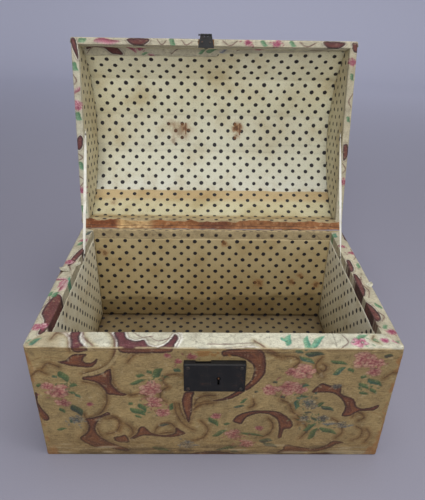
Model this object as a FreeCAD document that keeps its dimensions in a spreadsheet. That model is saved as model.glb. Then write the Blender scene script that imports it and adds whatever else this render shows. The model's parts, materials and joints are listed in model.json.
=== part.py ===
import FreeCAD, Part
import os
import re
import Sketcher

# A small dome-top storage trunk of wooden boards, papered outside and lined inside. It stands on its bottom
# board and is modelled open, held by two tape stays. The origin is the centre of the bottom face, +Z is up,
# +X is to the right and +Y to the back. The lid is drawn closed in its own frame, whose origin lies on the
# hinge axis, and its Placement swings it open. Lengths are millimetres and angles degrees.

SIZES = {
    # Body, over its papers
    "body_width": 380,
    "body_depth": 258,
    "body_height": 162,
    "bottom_thickness": 12,
    "front_thickness": 20,
    "end_thickness": 17,
    "back_thickness": 8,
    "worn_edge": 3,
    # Papers
    "paper": 0.6,
    "lining": 0.5,
    "hem_gap": 0.5,
    "corner_return": 12,
    "rim_outside_lap": 7,
    "rim_inside_lap": 13,
    # Lid
    "lid_setback": 6,
    "lid_height": 100,
    "rail_height": 29,
    "rail_thickness": 8,
    "lid_end_thickness": 9,
    "lid_worn_edge": 1.5,
    "lid_outside_lap": 3,
    "lid_inside_lap": 8,
    "rim_gap": 0.6,
    "opening_angle": 103,
    # Hinges
    "hinge_inset": 70,
    "hinge_length": 36,
    "knuckle_radius": 2.4,
    "knuckle_gap": 0.3,
    "knuckle_side_gap": 0.2,
    "leaf_height": 20,
    "leaf_thickness": 1.2,
    "hinge_pin_radius": 1.2,
    "pin_clearance": 0.05,
    "pin_head_radius": 2,
    "pin_head_height": 0.8,
    "strip_inset": 25,
    "strip_thickness": 0.25,
    "strip_lap": 6,
    # Nails and tacks
    "nail_radius": 1.2,
    "nail_head_radius": 2.6,
    "nail_head_height": 0.8,
    "nail_set": 0.2,
    "body_nail_length": 38,
    "lid_nail_length": 22,
    "small_nail_radius": 0.9,
    "small_head_radius": 2.1,
    "small_head_height": 0.7,
    "leaf_nail_length": 6.5,
    "lock_nail_length": 24,
    "hasp_nail_length": 8,
    "hasp_head_radius": 1.5,
    "hole_clearance": 0.2,
    # Lock
    "lock_width": 63,
    "lock_height": 37,
    "lock_depth": 7,
    "lock_drop": 18.7,
    "lock_sheet": 1.2,
    "lock_back": 0.8,
    "lock_nail_inset": 4.5,
    "lock_corner": 1.2,
    "key_offset": 4,
    "keyhole_radius": 2.2,
    "keyhole_slot": 2.2,
    "keyhole_length": 8.6,
    "key_pin_radius": 0.9,
    "bolt_thickness": 2,
    "bolt_height": 3.6,
    "bolt_length": 28,
    "bolt_travel": 6.5,
    "bolt_play": 0.25,
    "bolt_leg_length": 8,
    "bolt_leg_width": 10,
    "talon_radius": 3,
    "guide_radius": 0.6,
    "spring_thickness": 0.5,
    "spring_width": 3,
    "spring_drop": 7,
    # Hasp
    "hasp_offset": -11.6,
    "hasp_thickness": 2,
    "hasp_width": 15,
    "hasp_inner_width": 21,
    "tongue_length": 29.6,
    "tongue_gap": 1,
    "tongue_taper": 4,
    "notch_height": 4.4,
    "notch_depth": 6,
    "tail_width": 5,
    "tail_length": 17,
    "hasp_knuckle_radius": 1.5,
    "hasp_rest_gap": 0.4,
    "hasp_pin_radius": 0.7,
    "hasp_pin_reach": 2.6,
    "hasp_pin_head_radius": 1.3,
    "hasp_pin_head_height": 1.2,
    # Tape stays
    "tape_width": 4,
    "tape_thickness": 0.6,
    "tape_gap": 0.3,
    "tape_tail": 6,
    "stay_body_reach": 69,
    "stay_body_drop": 7,
    "stay_lid_reach": 127,
    "stay_lid_rise": 7,
    "tack_radius": 0.8,
    "tack_head_radius": 2.2,
    "tack_head_height": 0.6,
    "tack_length": 8,
    # Bail handle on the crown
    "eye_spacing": 84,
    "eye_offset": 9,
    "eye_inner_radius": 2.5,
    "eye_wire_radius": 1.2,
    "shank_radius": 1.3,
    "clinch_length": 9,
    "clinch_width": 1.8,
    "clinch_thickness": 1,
    "rosette_radius": 8,
    "rosette_thickness": 1,
    "bail_wire_radius": 2,
    "bail_reach": 6,
    "bail_drop": 30,
    "bail_corner": 6,
    "bail_bend": 3,
    # One overrun serves every cut
    "overrun": 5,
}
STAVES = 5
RIGHT_ANGLE = 90
SAME_PLACE = 0.01

doc = FreeCAD.newDocument("storage_trunk")
sheet = doc.addObject("Spreadsheet::Sheet", "Sizes")
for row, (word, value) in enumerate(SIZES.items(), start=1):
    sheet.set(f"A{row}", word)
    sheet.set(f"B{row}", str(value))
    sheet.setAlias(f"B{row}", word)
doc.recompute()

gauge = doc.addObject("App::FeaturePython", "Gauge")
gauge.addProperty("App::PropertyFloat", "Reading")
nodes = []


def bound(text):
    """The expression with each size's name pointed at its cell."""
    return re.sub(r"[a-z_]+", lambda word: "Sizes." + word[0] if word[0] in SIZES else word[0], text)


def number(text):
    """The expression's value now."""
    gauge.setExpression("Reading", bound(text))
    gauge.recompute()
    return gauge.Reading


def node(item):
    """Marks an object as a sub-part that is written to a file of its own."""
    nodes.append(item)
    return item


# Sketches. A corner is a pair of expressions, and an arc after a corner bulges outwards where its radius is
# positive on an outline drawn anticlockwise.

NORMALS = {"XY_Plane": 1, "XZ_Plane": -1, "YZ_Plane": 1}


def sketch_on(body, plane, place):
    sketch = body.newObject("Sketcher::SketchObject", body.Name + "_sketch")
    origin_plane = [item for item in body.Origin.OriginFeatures if item.Role == plane][0]
    sketch.AttachmentSupport = [(origin_plane, "")]
    sketch.MapMode = "FlatFace"
    sketch.setExpression("AttachmentOffset.Base.z", bound(place if NORMALS[plane] > 0 else f"0 - ({place})"))
    return sketch


def hold(sketch, kind, *terms):
    """A constraint whose value, the last term, follows an expression."""
    index = sketch.addConstraint(Sketcher.Constraint(kind, *terms[:-1], number(terms[-1])))
    sketch.renameConstraint(index, f"{kind}_{index}")
    sketch.setExpression(f"Constraints.{kind}_{index}", bound(terms[-1]))


def hold_point(sketch, geometry, end, x, y):
    hold(sketch, "DistanceX", -1, 1, geometry, end, x)
    hold(sketch, "DistanceY", -1, 1, geometry, end, y)


def outline(sketch, corners, arcs=None):
    """A closed outline. arcs gives the radius of the arc that follows a corner, by the corner's index."""
    arcs = arcs or {}
    points = [FreeCAD.Vector(number(x), number(y), 0) for x, y in corners]
    first = sketch.GeometryCount
    ends = []
    for index, here in enumerate(points):
        there = points[(index + 1) % len(points)]
        if index not in arcs:
            edge = Part.LineSegment(here, there)
            ends.append((1, 2))
        else:
            radius = number(arcs[index])
            chord = there - here
            left = FreeCAD.Vector(-chord.y, chord.x, 0).normalize()
            side = 1 if radius > 0 else -1
            depth = (radius ** 2 - chord.Length ** 2 / 4) ** 0.5
            centre = (here + there) / 2 + left * depth * side
            middle = centre - left * abs(radius) * side
            edge = Part.Arc(here, middle, there)
            ends.append((1, 2) if side > 0 else (2, 1))
        sketch.addGeometry(edge, False)
    for index, (x, y) in enumerate(corners):
        before = (index - 1) % len(corners)
        sketch.addConstraint(Sketcher.Constraint(
            "Coincident", first + before, ends[before][1], first + index, ends[index][0]))
        hold_point(sketch, first + index, ends[index][0], x, y)
        if index in arcs:
            radius = arcs[index]
            hold(sketch, "Radius", first + index, radius if number(radius) > 0 else f"0 - ({radius})")


def hole(sketch, x, y, radius):
    place = FreeCAD.Vector(number(x), number(y), 0)
    index = sketch.addGeometry(Part.Circle(place, FreeCAD.Vector(0, 0, 1), number(radius)), False)
    hold_point(sketch, index, 3, x, y)
    hold(sketch, "Radius", index, radius)


def slab(name, plane, span, corners, arcs=None, holes=(), body=None):
    """A plate whose outline lies square to an axis and which fills a span of that axis."""
    body = body or doc.addObject("PartDesign::Body", name)
    low, high = span
    sketch = sketch_on(body, plane, low if NORMALS[plane] > 0 else high)
    outline(sketch, corners, arcs)
    for place in holes:
        hole(sketch, *place)
    pad = body.newObject("PartDesign::Pad", name + "_pad")
    pad.Profile = sketch
    pad.setExpression("Length", bound(f"{high} - ({low})"))
    doc.recompute()
    return body


def carve(body, plane, span, corners=None, arcs=None, holes=()):
    """A pocket through a span of an axis, checked by volume."""
    low, high = span
    before = body.Shape.Volume
    sketch = sketch_on(body, plane, high if NORMALS[plane] > 0 else low)
    if corners:
        outline(sketch, corners, arcs)
    for place in holes:
        hole(sketch, *place)
    pocket = body.newObject("PartDesign::Pocket", body.Name + "_pocket")
    pocket.Profile = sketch
    pocket.setExpression("Length", bound(f"{high} - ({low})"))
    doc.recompute()
    if body.Shape.Volume >= before:
        raise RuntimeError(body.Label + " has a pocket that cuts nothing")
    return body


def rectangle(x_span, y_span):
    (x_low, x_high), (y_low, y_high) = x_span, y_span
    return [(x_low, y_low), (x_high, y_low), (x_high, y_high), (x_low, y_high)]


def soften(body, radius, *pairs):
    """Rounds the straight edges that lie in both planes of a pair, each plane an axis and a place."""
    names = []
    base = body.Tip
    for pair in pairs:
        planes = [(axis, number(place)) for axis, place in pair]
        for index, edge in enumerate(base.Shape.Edges, start=1):
            ends = [vertex.Point for vertex in edge.Vertexes]
            if all(abs(getattr(end, axis) - place) < SAME_PLACE for end in ends for axis, place in planes):
                names.append(f"Edge{index}")
    fillet = body.newObject("PartDesign::Fillet", body.Name + "_fillet")
    fillet.Base = (base, names)
    fillet.setExpression("Radius", bound(radius))
    doc.recompute()
    return body


# Primitives and joins

UPSIDE_DOWN = FreeCAD.Placement(FreeCAD.Vector(), FreeCAD.Rotation(FreeCAD.Vector(1, 0, 0), 2 * RIGHT_ANGLE))
TURNS = {
    "x": FreeCAD.Rotation(FreeCAD.Vector(0, 1, 0), RIGHT_ANGLE),
    "y": FreeCAD.Rotation(FreeCAD.Vector(1, 0, 0), -RIGHT_ANGLE),
    "z": FreeCAD.Rotation(),
}


def place_at(item, x, y, z):
    for axis, place in zip("xyz", (x, y, z)):
        item.setExpression("Placement.Base." + axis, bound(place))
    return item


def box(name, x_span, y_span, z_span):
    item = doc.addObject("Part::Box", name)
    for size, (low, high) in zip(("Length", "Width", "Height"), (x_span, y_span, z_span)):
        item.setExpression(size, bound(f"{high} - ({low})"))
    return place_at(item, x_span[0], y_span[0], z_span[0])


def rod(name, axis, radius, x, y, z, length):
    """A cylinder from a point along +axis."""
    item = doc.addObject("Part::Cylinder", name)
    item.setExpression("Radius", bound(radius))
    item.setExpression("Height", bound(length))
    item.Placement = FreeCAD.Placement(FreeCAD.Vector(), TURNS[axis])
    return place_at(item, x, y, z)


def fuse(name, items):
    item = doc.addObject("Part::MultiFuse", name)
    item.Shapes = items
    item.Refine = True
    return item


def cut(name, base, tool):
    item = doc.addObject("Part::Cut", name)
    item.Base = base
    item.Tool = tool
    return item


def group(name, items):
    item = doc.addObject("Part::Compound", name)
    item.Links = items
    return item


# Derived planes. The body's wooden faces lie one paper inside its outer sizes.

AXIS_Y = "(body_depth / 2 + knuckle_radius + knuckle_gap)"
AXIS_Z = "(body_height + rim_gap / 2)"
LID_PLACE = f"placement(vector(0; {AXIS_Y}; {AXIS_Z}); rotation(vector(1; 0; 0); 0 - opening_angle))"

OUT_X = "(body_width / 2)"
OUT_FRONT = "(0 - body_depth / 2)"
OUT_BACK = "(body_depth / 2)"
WOOD_X = "(body_width / 2 - paper)"
WOOD_FRONT = "(paper - body_depth / 2)"
WOOD_BACK = "(body_depth / 2 - paper)"
WOOD_TOP = "(body_height - paper)"
ROOM_X = "(body_width / 2 - paper - end_thickness)"
ROOM_FRONT = "(paper + front_thickness - body_depth / 2)"
ROOM_BACK = "(body_depth / 2 - paper - back_thickness)"
FLOOR = "bottom_thickness"
FLOOR_LINED = "(bottom_thickness + lining)"
LAP_OUTSIDE = "(body_height - rim_outside_lap)"
LAP_INSIDE = "(body_height - rim_inside_lap)"

LID_DEPTH = "(body_depth - lid_setback)"
LID_BACK = "(0 - knuckle_radius - knuckle_gap)"
LID_FRONT = f"(0 - knuckle_radius - knuckle_gap - {LID_DEPTH})"
LID_MIDDLE = f"(0 - knuckle_radius - knuckle_gap - {LID_DEPTH} / 2)"
LID_RIM = "(rim_gap / 2)"
LID_WOOD = "(rim_gap / 2 + paper)"
LID_HALF = f"({LID_DEPTH} / 2 - paper)"
LID_ROOM_HALF = f"({LID_DEPTH} / 2 - paper - rail_thickness)"
LID_ROOM_X = "(body_width / 2 - paper - lid_end_thickness)"
LID_RAIL_TOP = "(rim_gap / 2 + rail_height)"
LID_LAP_OUTSIDE = "(rim_gap / 2 + lid_outside_lap)"
LID_LAP_INSIDE = "(rim_gap / 2 + lid_inside_lap)"
DOME_RISE = "(lid_height - paper - rail_height)"
DOME_RADIUS = f"(({LID_HALF} ^ 2 + {DOME_RISE} ^ 2) / (2 * {DOME_RISE}))"
DOME_CENTRE = f"(rim_gap / 2 + lid_height - paper - {DOME_RADIUS})"
DOME_ANGLE = f"asin({LID_HALF} / {DOME_RADIUS})"
STAVE_RADIUS = f"({LID_ROOM_HALF} * {DOME_RADIUS} / {LID_HALF})"


def mirrored(text):
    return f"(0 - {text})"


def lid_y(text):
    """A place measured forwards and backwards from the middle of the lid."""
    return f"({LID_MIDDLE} + {text})"


def spread(half):
    return (mirrored(half), half)


# Body boards

def body_boards():
    base = slab("bottom_board", "XY_Plane", ("0", FLOOR), rectangle(spread(WOOD_X), (WOOD_FRONT, WOOD_BACK)))
    uprights = [[("x", x), ("y", y)] for x in spread(WOOD_X) for y in (WOOD_FRONT, WOOD_BACK)]
    soften(base, "worn_edge", *uprights)
    node(base)
    for name, outer, inner in (("front_board", WOOD_FRONT, ROOM_FRONT), ("back_board", WOOD_BACK, ROOM_BACK)):
        y_span = (outer, inner) if name == "front_board" else (inner, outer)
        board = slab(name, "XY_Plane", (FLOOR, WOOD_TOP), rectangle(spread(WOOD_X), y_span))
        left, right = spread(WOOD_X)
        soften(board, "worn_edge", [("y", outer), ("z", WOOD_TOP)], [("x", left), ("z", WOOD_TOP)],
               [("x", right), ("z", WOOD_TOP)], [("x", left), ("y", outer)], [("x", right), ("y", outer)])
        node(board)
    for name, x_span, outer in (("left_end_board", (mirrored(WOOD_X), mirrored(ROOM_X)), mirrored(WOOD_X)),
                                ("right_end_board", (ROOM_X, WOOD_X), WOOD_X)):
        board = slab(name, "XY_Plane", (FLOOR, WOOD_TOP), rectangle(x_span, (ROOM_FRONT, ROOM_BACK)))
        soften(board, "worn_edge", [("x", outer), ("z", WOOD_TOP)])
        node(board)


# Papers. The front and back papers wrap round the worn corners on to the ends, and the rim's paper covers
# the top of the boards and laps down both sides.

CORNER = "(worn_edge + paper)"


def wrapped_paper(name, outer, way):
    """A sheet on the front (way 1) or back (way -1) that turns both corners."""
    def depth(text):
        return f"({outer} + {way} * {text})"
    corners = [
        (mirrored(OUT_X), depth("corner_return")),
        (mirrored(OUT_X), depth(CORNER)),
        (f"({CORNER} - {OUT_X})", outer),
        (f"({OUT_X} - {CORNER})", outer),
        (OUT_X, depth(CORNER)),
        (OUT_X, depth("corner_return")),
        (WOOD_X, depth("corner_return")),
        (WOOD_X, depth(CORNER)),
        (f"({OUT_X} - {CORNER})", depth("paper")),
        (f"({CORNER} - {OUT_X})", depth("paper")),
        (mirrored(WOOD_X), depth(CORNER)),
        (mirrored(WOOD_X), depth("corner_return")),
    ]
    turns = {1: CORNER, 3: CORNER, 7: "(0 - worn_edge)", 9: "(0 - worn_edge)"}
    if way < 0:
        corners.reverse()
        last = len(corners) - 2
        turns = {last - index: radius for index, radius in turns.items()}
    return node(slab(name, "XY_Plane", ("hem_gap", LAP_OUTSIDE), corners, turns))


def rim_cover(name, y_span, thicknesses, laps, wear, top, end_thickness):
    """The paper over a ring of boards: a softened block, hollowed, less the boards and the space below."""
    (y_low, y_high), (low_wall, high_wall), (lap_out, lap_in) = y_span, thicknesses, laps

    def ring(inset):
        x = f"({OUT_X} - {inset})"
        return spread(x), (f"({y_low} + {inset})", f"({y_high} - {inset})")

    def opening(inset):
        x = f"({OUT_X} - paper - {end_thickness} - {inset})"
        low = f"({y_low} + paper + {low_wall} + {inset})"
        return spread(x), (low, f"({y_high} - paper - {high_wall} - {inset})")

    def rounded(piece, inset, radius, height):
        (x_low, x_high), (front, back) = ring(inset)
        uprights = [[("x", x), ("y", y)] for x in (x_low, x_high) for y in (front, back)]
        arrises = [[("x", x_low), ("z", height)], [("x", x_high), ("z", height)],
                   [("y", front), ("z", height)], [("y", back), ("z", height)]]
        soften(piece, radius, *uprights, *arrises)

    bottom = f"({top} - {lap_in})"
    wood_top = f"({top} - paper)"
    blank = slab(name + "_blank", "XY_Plane", (bottom, top), rectangle(*ring("0")))
    rounded(blank, "0", f"({wear} + paper)", top)
    carve(blank, "XY_Plane", (bottom, top), rectangle(*opening("paper")))
    core = slab(name + "_core", "XY_Plane", (bottom, wood_top), rectangle(*ring("paper")))
    rounded(core, "paper", wear, wood_top)
    carve(core, "XY_Plane", (bottom, wood_top), rectangle(*opening("0")))
    skirt = slab(name + "_skirt", "XY_Plane", (f"({bottom} - overrun)", f"({top} - {lap_out})"),
                 rectangle(*ring("(0 - overrun)")))
    carve(skirt, "XY_Plane", (f"({bottom} - overrun)", f"({top} - {lap_out})"), rectangle(*opening("0")))
    return cut(name, cut(name + "_shell", blank, core), skirt)


def body_papers():
    wrapped_paper("front_paper", OUT_FRONT, 1)
    wrapped_paper("back_paper", OUT_BACK, -1)
    y_span = (f"({OUT_FRONT} + corner_return)", f"({OUT_BACK} - corner_return)")
    for name, x_span in (("left_end_paper", (mirrored(OUT_X), mirrored(WOOD_X))),
                         ("right_end_paper", (WOOD_X, OUT_X))):
        node(slab(name, "XY_Plane", ("hem_gap", LAP_OUTSIDE), rectangle(x_span, y_span)))
    node(rim_cover("rim_paper", (OUT_FRONT, OUT_BACK), ("front_thickness", "back_thickness"),
                   ("rim_outside_lap", "rim_inside_lap"), "worn_edge", "body_height", "end_thickness"))


def body_linings():
    y_span = (ROOM_FRONT, ROOM_BACK)
    upright = (FLOOR_LINED, LAP_INSIDE)
    node(slab("floor_lining", "XY_Plane", (FLOOR, FLOOR_LINED), rectangle(spread(ROOM_X), y_span)))
    inner_x = f"({ROOM_X} - lining)"
    node(slab("front_lining", "XY_Plane", upright,
              rectangle(spread(inner_x), (ROOM_FRONT, f"({ROOM_FRONT} + lining)"))))
    node(slab("back_lining", "XY_Plane", upright,
              rectangle(spread(inner_x), (f"({ROOM_BACK} - lining)", ROOM_BACK))))
    node(slab("left_lining", "XY_Plane", upright, rectangle((mirrored(ROOM_X), mirrored(inner_x)), y_span)))
    node(slab("right_lining", "XY_Plane", upright, rectangle((inner_x, ROOM_X), y_span)))


# Nails. A nail is a shank and a flat head whose outer face stands at the given place.

def nail(name, axis, way, x, y, z, sizes):
    """way is +1 where the nail is driven towards +axis and -1 towards -axis."""
    radius, length, head_radius, head_height = sizes
    pieces = []
    for part, thickness, run in (("shank", radius, length), ("head", head_radius, head_height)):
        place = {"x": x, "y": y, "z": z}
        if way < 0:
            place[axis] = f"({place[axis]} - {run})"
        pieces.append(rod(f"{name}_{part}", axis, thickness, *place.values(), run))
    return fuse(name, pieces)


BODY_NAIL = ("nail_radius", "body_nail_length", "nail_head_radius", "nail_head_height")
LID_NAIL = ("nail_radius", "lid_nail_length", "nail_head_radius", "nail_head_height")
LEAF_NAIL = ("small_nail_radius", "leaf_nail_length", "small_head_radius", "small_head_height")
LOCK_NAIL = ("small_nail_radius", "lock_nail_length", "small_head_radius", "small_head_height")
HASP_NAIL = ("small_nail_radius", "hasp_nail_length", "hasp_head_radius", "(rim_gap / 3)")
TACK = ("tack_radius", "tack_length", "tack_head_radius", "tack_head_height")
NAIL_HEIGHT_SHARES = (0.25, 0.75)
BOTTOM_NAIL_SHARES = (-0.25, 0.25)


def body_nails():
    end_middle = f"({WOOD_X} - end_thickness / 2)"
    nails = []
    for x in spread(end_middle):
        for share in NAIL_HEIGHT_SHARES:
            height = f"({FLOOR} + ({WOOD_TOP} - {FLOOR}) * {share})"
            for way, face in ((1, WOOD_FRONT), (-1, WOOD_BACK)):
                nails.append(nail(f"body_nail_{len(nails)}", "y", way, x, face, height, BODY_NAIL))
        for share in BOTTOM_NAIL_SHARES:
            y = f"(body_depth * {share})"
            nails.append(nail(f"body_nail_{len(nails)}", "z", 1, x, y, "0", BODY_NAIL))
    for share in BOTTOM_NAIL_SHARES:
        x = f"(body_width * {share})"
        for y in (f"({WOOD_FRONT} + front_thickness / 2)", f"({WOOD_BACK} - back_thickness / 2)"):
            nails.append(nail(f"body_nail_{len(nails)}", "z", 1, x, y, "0", BODY_NAIL))
    node(group("body_nails", nails))


# Lid boards. Five staves with flat inner faces make the dome; their joints point at the dome's centre.

def dome_point(radius, share):
    """A point on a circle about the dome's centre, at a share of the dome's half angle from its crown."""
    angle = f"({DOME_ANGLE} * {share})"
    return lid_y(f"{radius} * sin({angle})"), f"({DOME_CENTRE} + {radius} * cos({angle}))"


def stave_share(index):
    return 1 - 2 * index / STAVES


def lid_boards():
    for index in range(STAVES):
        back, front = stave_share(index), stave_share(index + 1)
        corners = [dome_point(STAVE_RADIUS, front), dome_point(STAVE_RADIUS, back),
                   dome_point(DOME_RADIUS, back), dome_point(DOME_RADIUS, front)]
        name = f"lid_stave_{index + 1}"
        node(on_lid(slab(name, "YZ_Plane", spread(WOOD_X), corners, {2: DOME_RADIUS})))
    for name, way in (("lid_back_rail", 1), ("lid_front_rail", -1)):
        inner, outer = dome_point(STAVE_RADIUS, way), dome_point(DOME_RADIUS, way)
        corners = [(inner[0], LID_WOOD), (outer[0], LID_WOOD), outer, inner]
        if way < 0:
            corners.reverse()
        rail = slab(name + "_bar", "YZ_Plane", spread(WOOD_X), corners)
        soften(rail, "lid_worn_edge", [("y", outer[0]), ("z", LID_WOOD)],
               *[[("x", x), plane] for x in spread(WOOD_X) for plane in (("y", outer[0]), ("z", LID_WOOD))])
        if way < 0:
            rail = cut(name, rail, hasp_seat(name))
        rail.Label = name
        node(on_lid(rail))
    for name, x_span in (("lid_left_end", (mirrored(WOOD_X), mirrored(LID_ROOM_X))),
                         ("lid_right_end", (LID_ROOM_X, WOOD_X))):
        outer = mirrored(WOOD_X) if "left" in name else WOOD_X
        end = slab(name, "YZ_Plane", x_span, dome_polygon("0", LID_WOOD))
        soften(end, "lid_worn_edge", [("x", outer), ("z", LID_WOOD)])
        node(on_lid(end))


def dome_polygon(inset, bottom):
    """The lid's inner section, drawn inwards by an inset, down to a height."""
    half_stave = f"({DOME_ANGLE} / {STAVES})"
    flat = f"({STAVE_RADIUS} * cos({half_stave}) - {inset})"
    side = f"({LID_ROOM_HALF} - {inset})"
    lean = f"({DOME_ANGLE} - {half_stave})"
    shoulder = f"({DOME_CENTRE} + ({flat} - {side} * sin({lean})) / cos({lean}))"
    ridge = f"({flat} / cos({half_stave}))"
    top = [dome_point(ridge, stave_share(index)) for index in range(1, STAVES)]
    return [(lid_y(mirrored(side)), bottom), (lid_y(side), bottom), (lid_y(side), shoulder), *top,
            (lid_y(mirrored(side)), shoulder)]


def on_lid(item):
    item.setExpression("Placement", bound(LID_PLACE))
    return item


SEAT_HALF = "(hasp_inner_width / 2 + hole_clearance)"


def hasp_seat(name):
    """The space that the hasp takes out of the front rail and the rim's paper."""
    return box(name + "_seat", (f"(hasp_offset - {SEAT_HALF})", f"(hasp_offset + {SEAT_HALF})"),
               (f"({LID_FRONT} - overrun)", f"({LID_FRONT} + paper + rail_thickness + overrun)"),
               ("0", f"({LID_RIM} + hasp_thickness + hole_clearance)"))


# Lid papers and linings

def lid_papers():
    outer_radius = f"({DOME_RADIUS} + paper)"
    eave = f"({DOME_CENTRE} + sqrt({outer_radius} ^ 2 - ({LID_DEPTH} / 2) ^ 2))"
    front_wood, back_wood = lid_y(mirrored(LID_HALF)), lid_y(LID_HALF)
    corners = [(LID_FRONT, LID_LAP_OUTSIDE), (front_wood, LID_LAP_OUTSIDE), (front_wood, LID_RAIL_TOP),
               (back_wood, LID_RAIL_TOP), (back_wood, LID_LAP_OUTSIDE), (LID_BACK, LID_LAP_OUTSIDE),
               (LID_BACK, eave), (LID_FRONT, eave)]
    node(on_lid(slab("lid_top_paper", "YZ_Plane", spread(OUT_X), corners,
                     {2: mirrored(DOME_RADIUS), 6: outer_radius})))
    corners = [(front_wood, LID_LAP_OUTSIDE), (back_wood, LID_LAP_OUTSIDE), (back_wood, LID_RAIL_TOP),
               (front_wood, LID_RAIL_TOP)]
    for name, x_span in (("lid_left_paper", (mirrored(OUT_X), mirrored(WOOD_X))),
                         ("lid_right_paper", (WOOD_X, OUT_X))):
        node(on_lid(slab(name, "YZ_Plane", x_span, corners, {2: DOME_RADIUS})))
    ring = rim_cover("lid_rim_ring", (mirrored(LID_BACK), mirrored(LID_FRONT)),
                     ("rail_thickness", "rail_thickness"), ("lid_outside_lap", "lid_inside_lap"),
                     "lid_worn_edge", mirrored(LID_RIM), "lid_end_thickness")
    ring.Placement = UPSIDE_DOWN
    node(on_lid(cut("lid_rim_paper", ring, hasp_seat("lid_rim_paper"))))


def lid_linings():
    outer = dome_polygon("0", LID_LAP_INSIDE)
    inner = dome_polygon("lining", LID_LAP_INSIDE)
    corners = [outer[0], *reversed(outer[3:]), outer[2], outer[1], inner[1], inner[2], *inner[3:], inner[0]]
    corners.reverse()
    node(on_lid(slab("lid_top_lining", "YZ_Plane", spread(LID_ROOM_X), corners)))
    lined_x = f"({LID_ROOM_X} - lining)"
    for name, x_span in (("lid_left_lining", (mirrored(LID_ROOM_X), mirrored(lined_x))),
                         ("lid_right_lining", (lined_x, LID_ROOM_X))):
        node(on_lid(slab(name, "YZ_Plane", x_span, inner)))


def lid_nails():
    end_middle = f"({WOOD_X} - lid_end_thickness / 2)"
    nails = []
    for x in spread(end_middle):
        for way, face in ((-1, lid_y(LID_HALF)), (1, lid_y(mirrored(LID_HALF)))):
            height = f"({LID_WOOD} + rail_height / 2)"
            nails.append(nail(f"lid_nail_{len(nails)}", "y", way, x, face, height, LID_NAIL))
        for index in range(STAVES):
            angle = f"({DOME_ANGLE} * {(stave_share(index) + stave_share(index + 1)) / 2})"
            name = f"lid_nail_{len(nails)}"
            driven = nail(name, "z", -1, "0", "0", f"({DOME_RADIUS} - nail_set)", LID_NAIL)
            turn = f"rotation(vector(1; 0; 0); -1 * {angle})"
            driven.setExpression("Placement", bound(
                f"placement(vector({x}; {LID_MIDDLE}; {DOME_CENTRE}); {turn})"))
            nails.append(driven)
    node(on_lid(group("lid_nails", nails)))


# Hinges. Each has a leaf on the body's back with its two outer knuckles, a leaf on the lid with the middle
# knuckle, and a headed pin. Everything here is drawn from the axis; the body's leaves hang below it.

LEAF_HOLE = "(small_nail_radius + hole_clearance)"
LEAF_NAIL_SHARES = (-0.36, 0, 0.36)
LEAF_NAIL_HEIGHT_SHARE = 0.62
THIRD = "(hinge_length / 3)"


def hinge_leaf(name, x, side):
    """side is 1 for the lid's leaf and -1 for the body's."""
    clear = "(knuckle_radius + 2 * knuckle_gap)"
    plate_y = (LID_BACK, f"({LID_BACK} + leaf_thickness)")

    def heights(low, high):
        return (low, high) if side > 0 else (f"(0 - {high})", f"(0 - {low})")

    pieces = [box(name + "_plate", (f"({x} - hinge_length / 2)", f"({x} + hinge_length / 2)"), plate_y,
                  heights(clear, "leaf_height"))]
    left, right = f"({x} - {THIRD} / 2)", f"({x} + {THIRD} / 2)"
    if side > 0:
        stretches = [(f"({left} + knuckle_side_gap)", f"({right} - knuckle_side_gap)")]
    else:
        stretches = [(f"({left} - {THIRD})", left), (right, f"({right} + {THIRD})")]
    for index, (low, high) in enumerate(stretches):
        knuckle = f"{name}_knuckle_{index}"
        pieces.append(box(f"{name}_tab_{index}", (low, high), plate_y, heights("0", "leaf_height / 2")))
        pieces.append(rod(knuckle, "x", "knuckle_radius", low, "0", "0", f"({high} - {low})"))
    bore = rod(name + "_bore", "x", "(hinge_pin_radius + pin_clearance)",
               f"({x} - hinge_length)", "0", "0", "(2 * hinge_length)")
    holes = [rod(f"{name}_hole_{index}", "y", LEAF_HOLE, f"({x} + hinge_length * {share})",
                 f"({LID_BACK} - overrun)", leaf_nail_height(side), "(2 * overrun)")
             for index, share in enumerate(LEAF_NAIL_SHARES)]
    return cut(name, fuse(name + "_solid", pieces), group(name + "_holes", [bore, *holes]))


def leaf_nail_height(side):
    return f"({side} * leaf_height * {LEAF_NAIL_HEIGHT_SHARE})"


def on_axis(item):
    return place_at(item, "0", AXIS_Y, AXIS_Z)


def hinges():
    nails = {1: [], -1: []}
    for name, x in (("left", "(hinge_inset - body_width / 2)"), ("right", "(body_width / 2 - hinge_inset)")):
        node(on_axis(hinge_leaf(name + "_hinge_body_leaf", x, -1)))
        node(on_lid(hinge_leaf(name + "_hinge_lid_leaf", x, 1)))
        start = f"({x} - hinge_length / 2)"
        head_left = f"({start} - pin_head_height - knuckle_side_gap)"
        head_right = f"({x} + hinge_length / 2 + knuckle_side_gap)"
        pin = fuse(name + "_hinge_pin", [
            rod(name + "_pin_shank", "x", "hinge_pin_radius", head_left, "0", "0",
                "(hinge_length + 2 * pin_head_height + 2 * knuckle_side_gap)"),
            rod(name + "_pin_head_left", "x", "pin_head_radius", head_left, "0", "0", "pin_head_height"),
            rod(name + "_pin_head_right", "x", "pin_head_radius", head_right, "0", "0", "pin_head_height")])
        node(on_axis(pin))
        for side in (1, -1):
            for share in LEAF_NAIL_SHARES:
                label = f"{name}_leaf_nail_{side + 1}_{len(nails[side])}"
                face = f"({LID_BACK} + leaf_thickness + small_head_height)"
                nails[side].append(nail(label, "y", -1, f"({x} + hinge_length * {share})", face,
                                        leaf_nail_height(side), LEAF_NAIL))
    node(on_axis(group("hinge_body_nails", nails[-1])))
    node(on_lid(group("hinge_lid_nails", nails[1])))


# The worn strip inside the hinge line lies on the back of the rim, passes over the knuckles and runs up in
# front of the lid's rim. Its bends are shares of the radius that clears the knuckles.

STRIP_FOOT_SHARE = 1.8
STRIP_BEND_SHARES = (0.69, 0.83)


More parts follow.
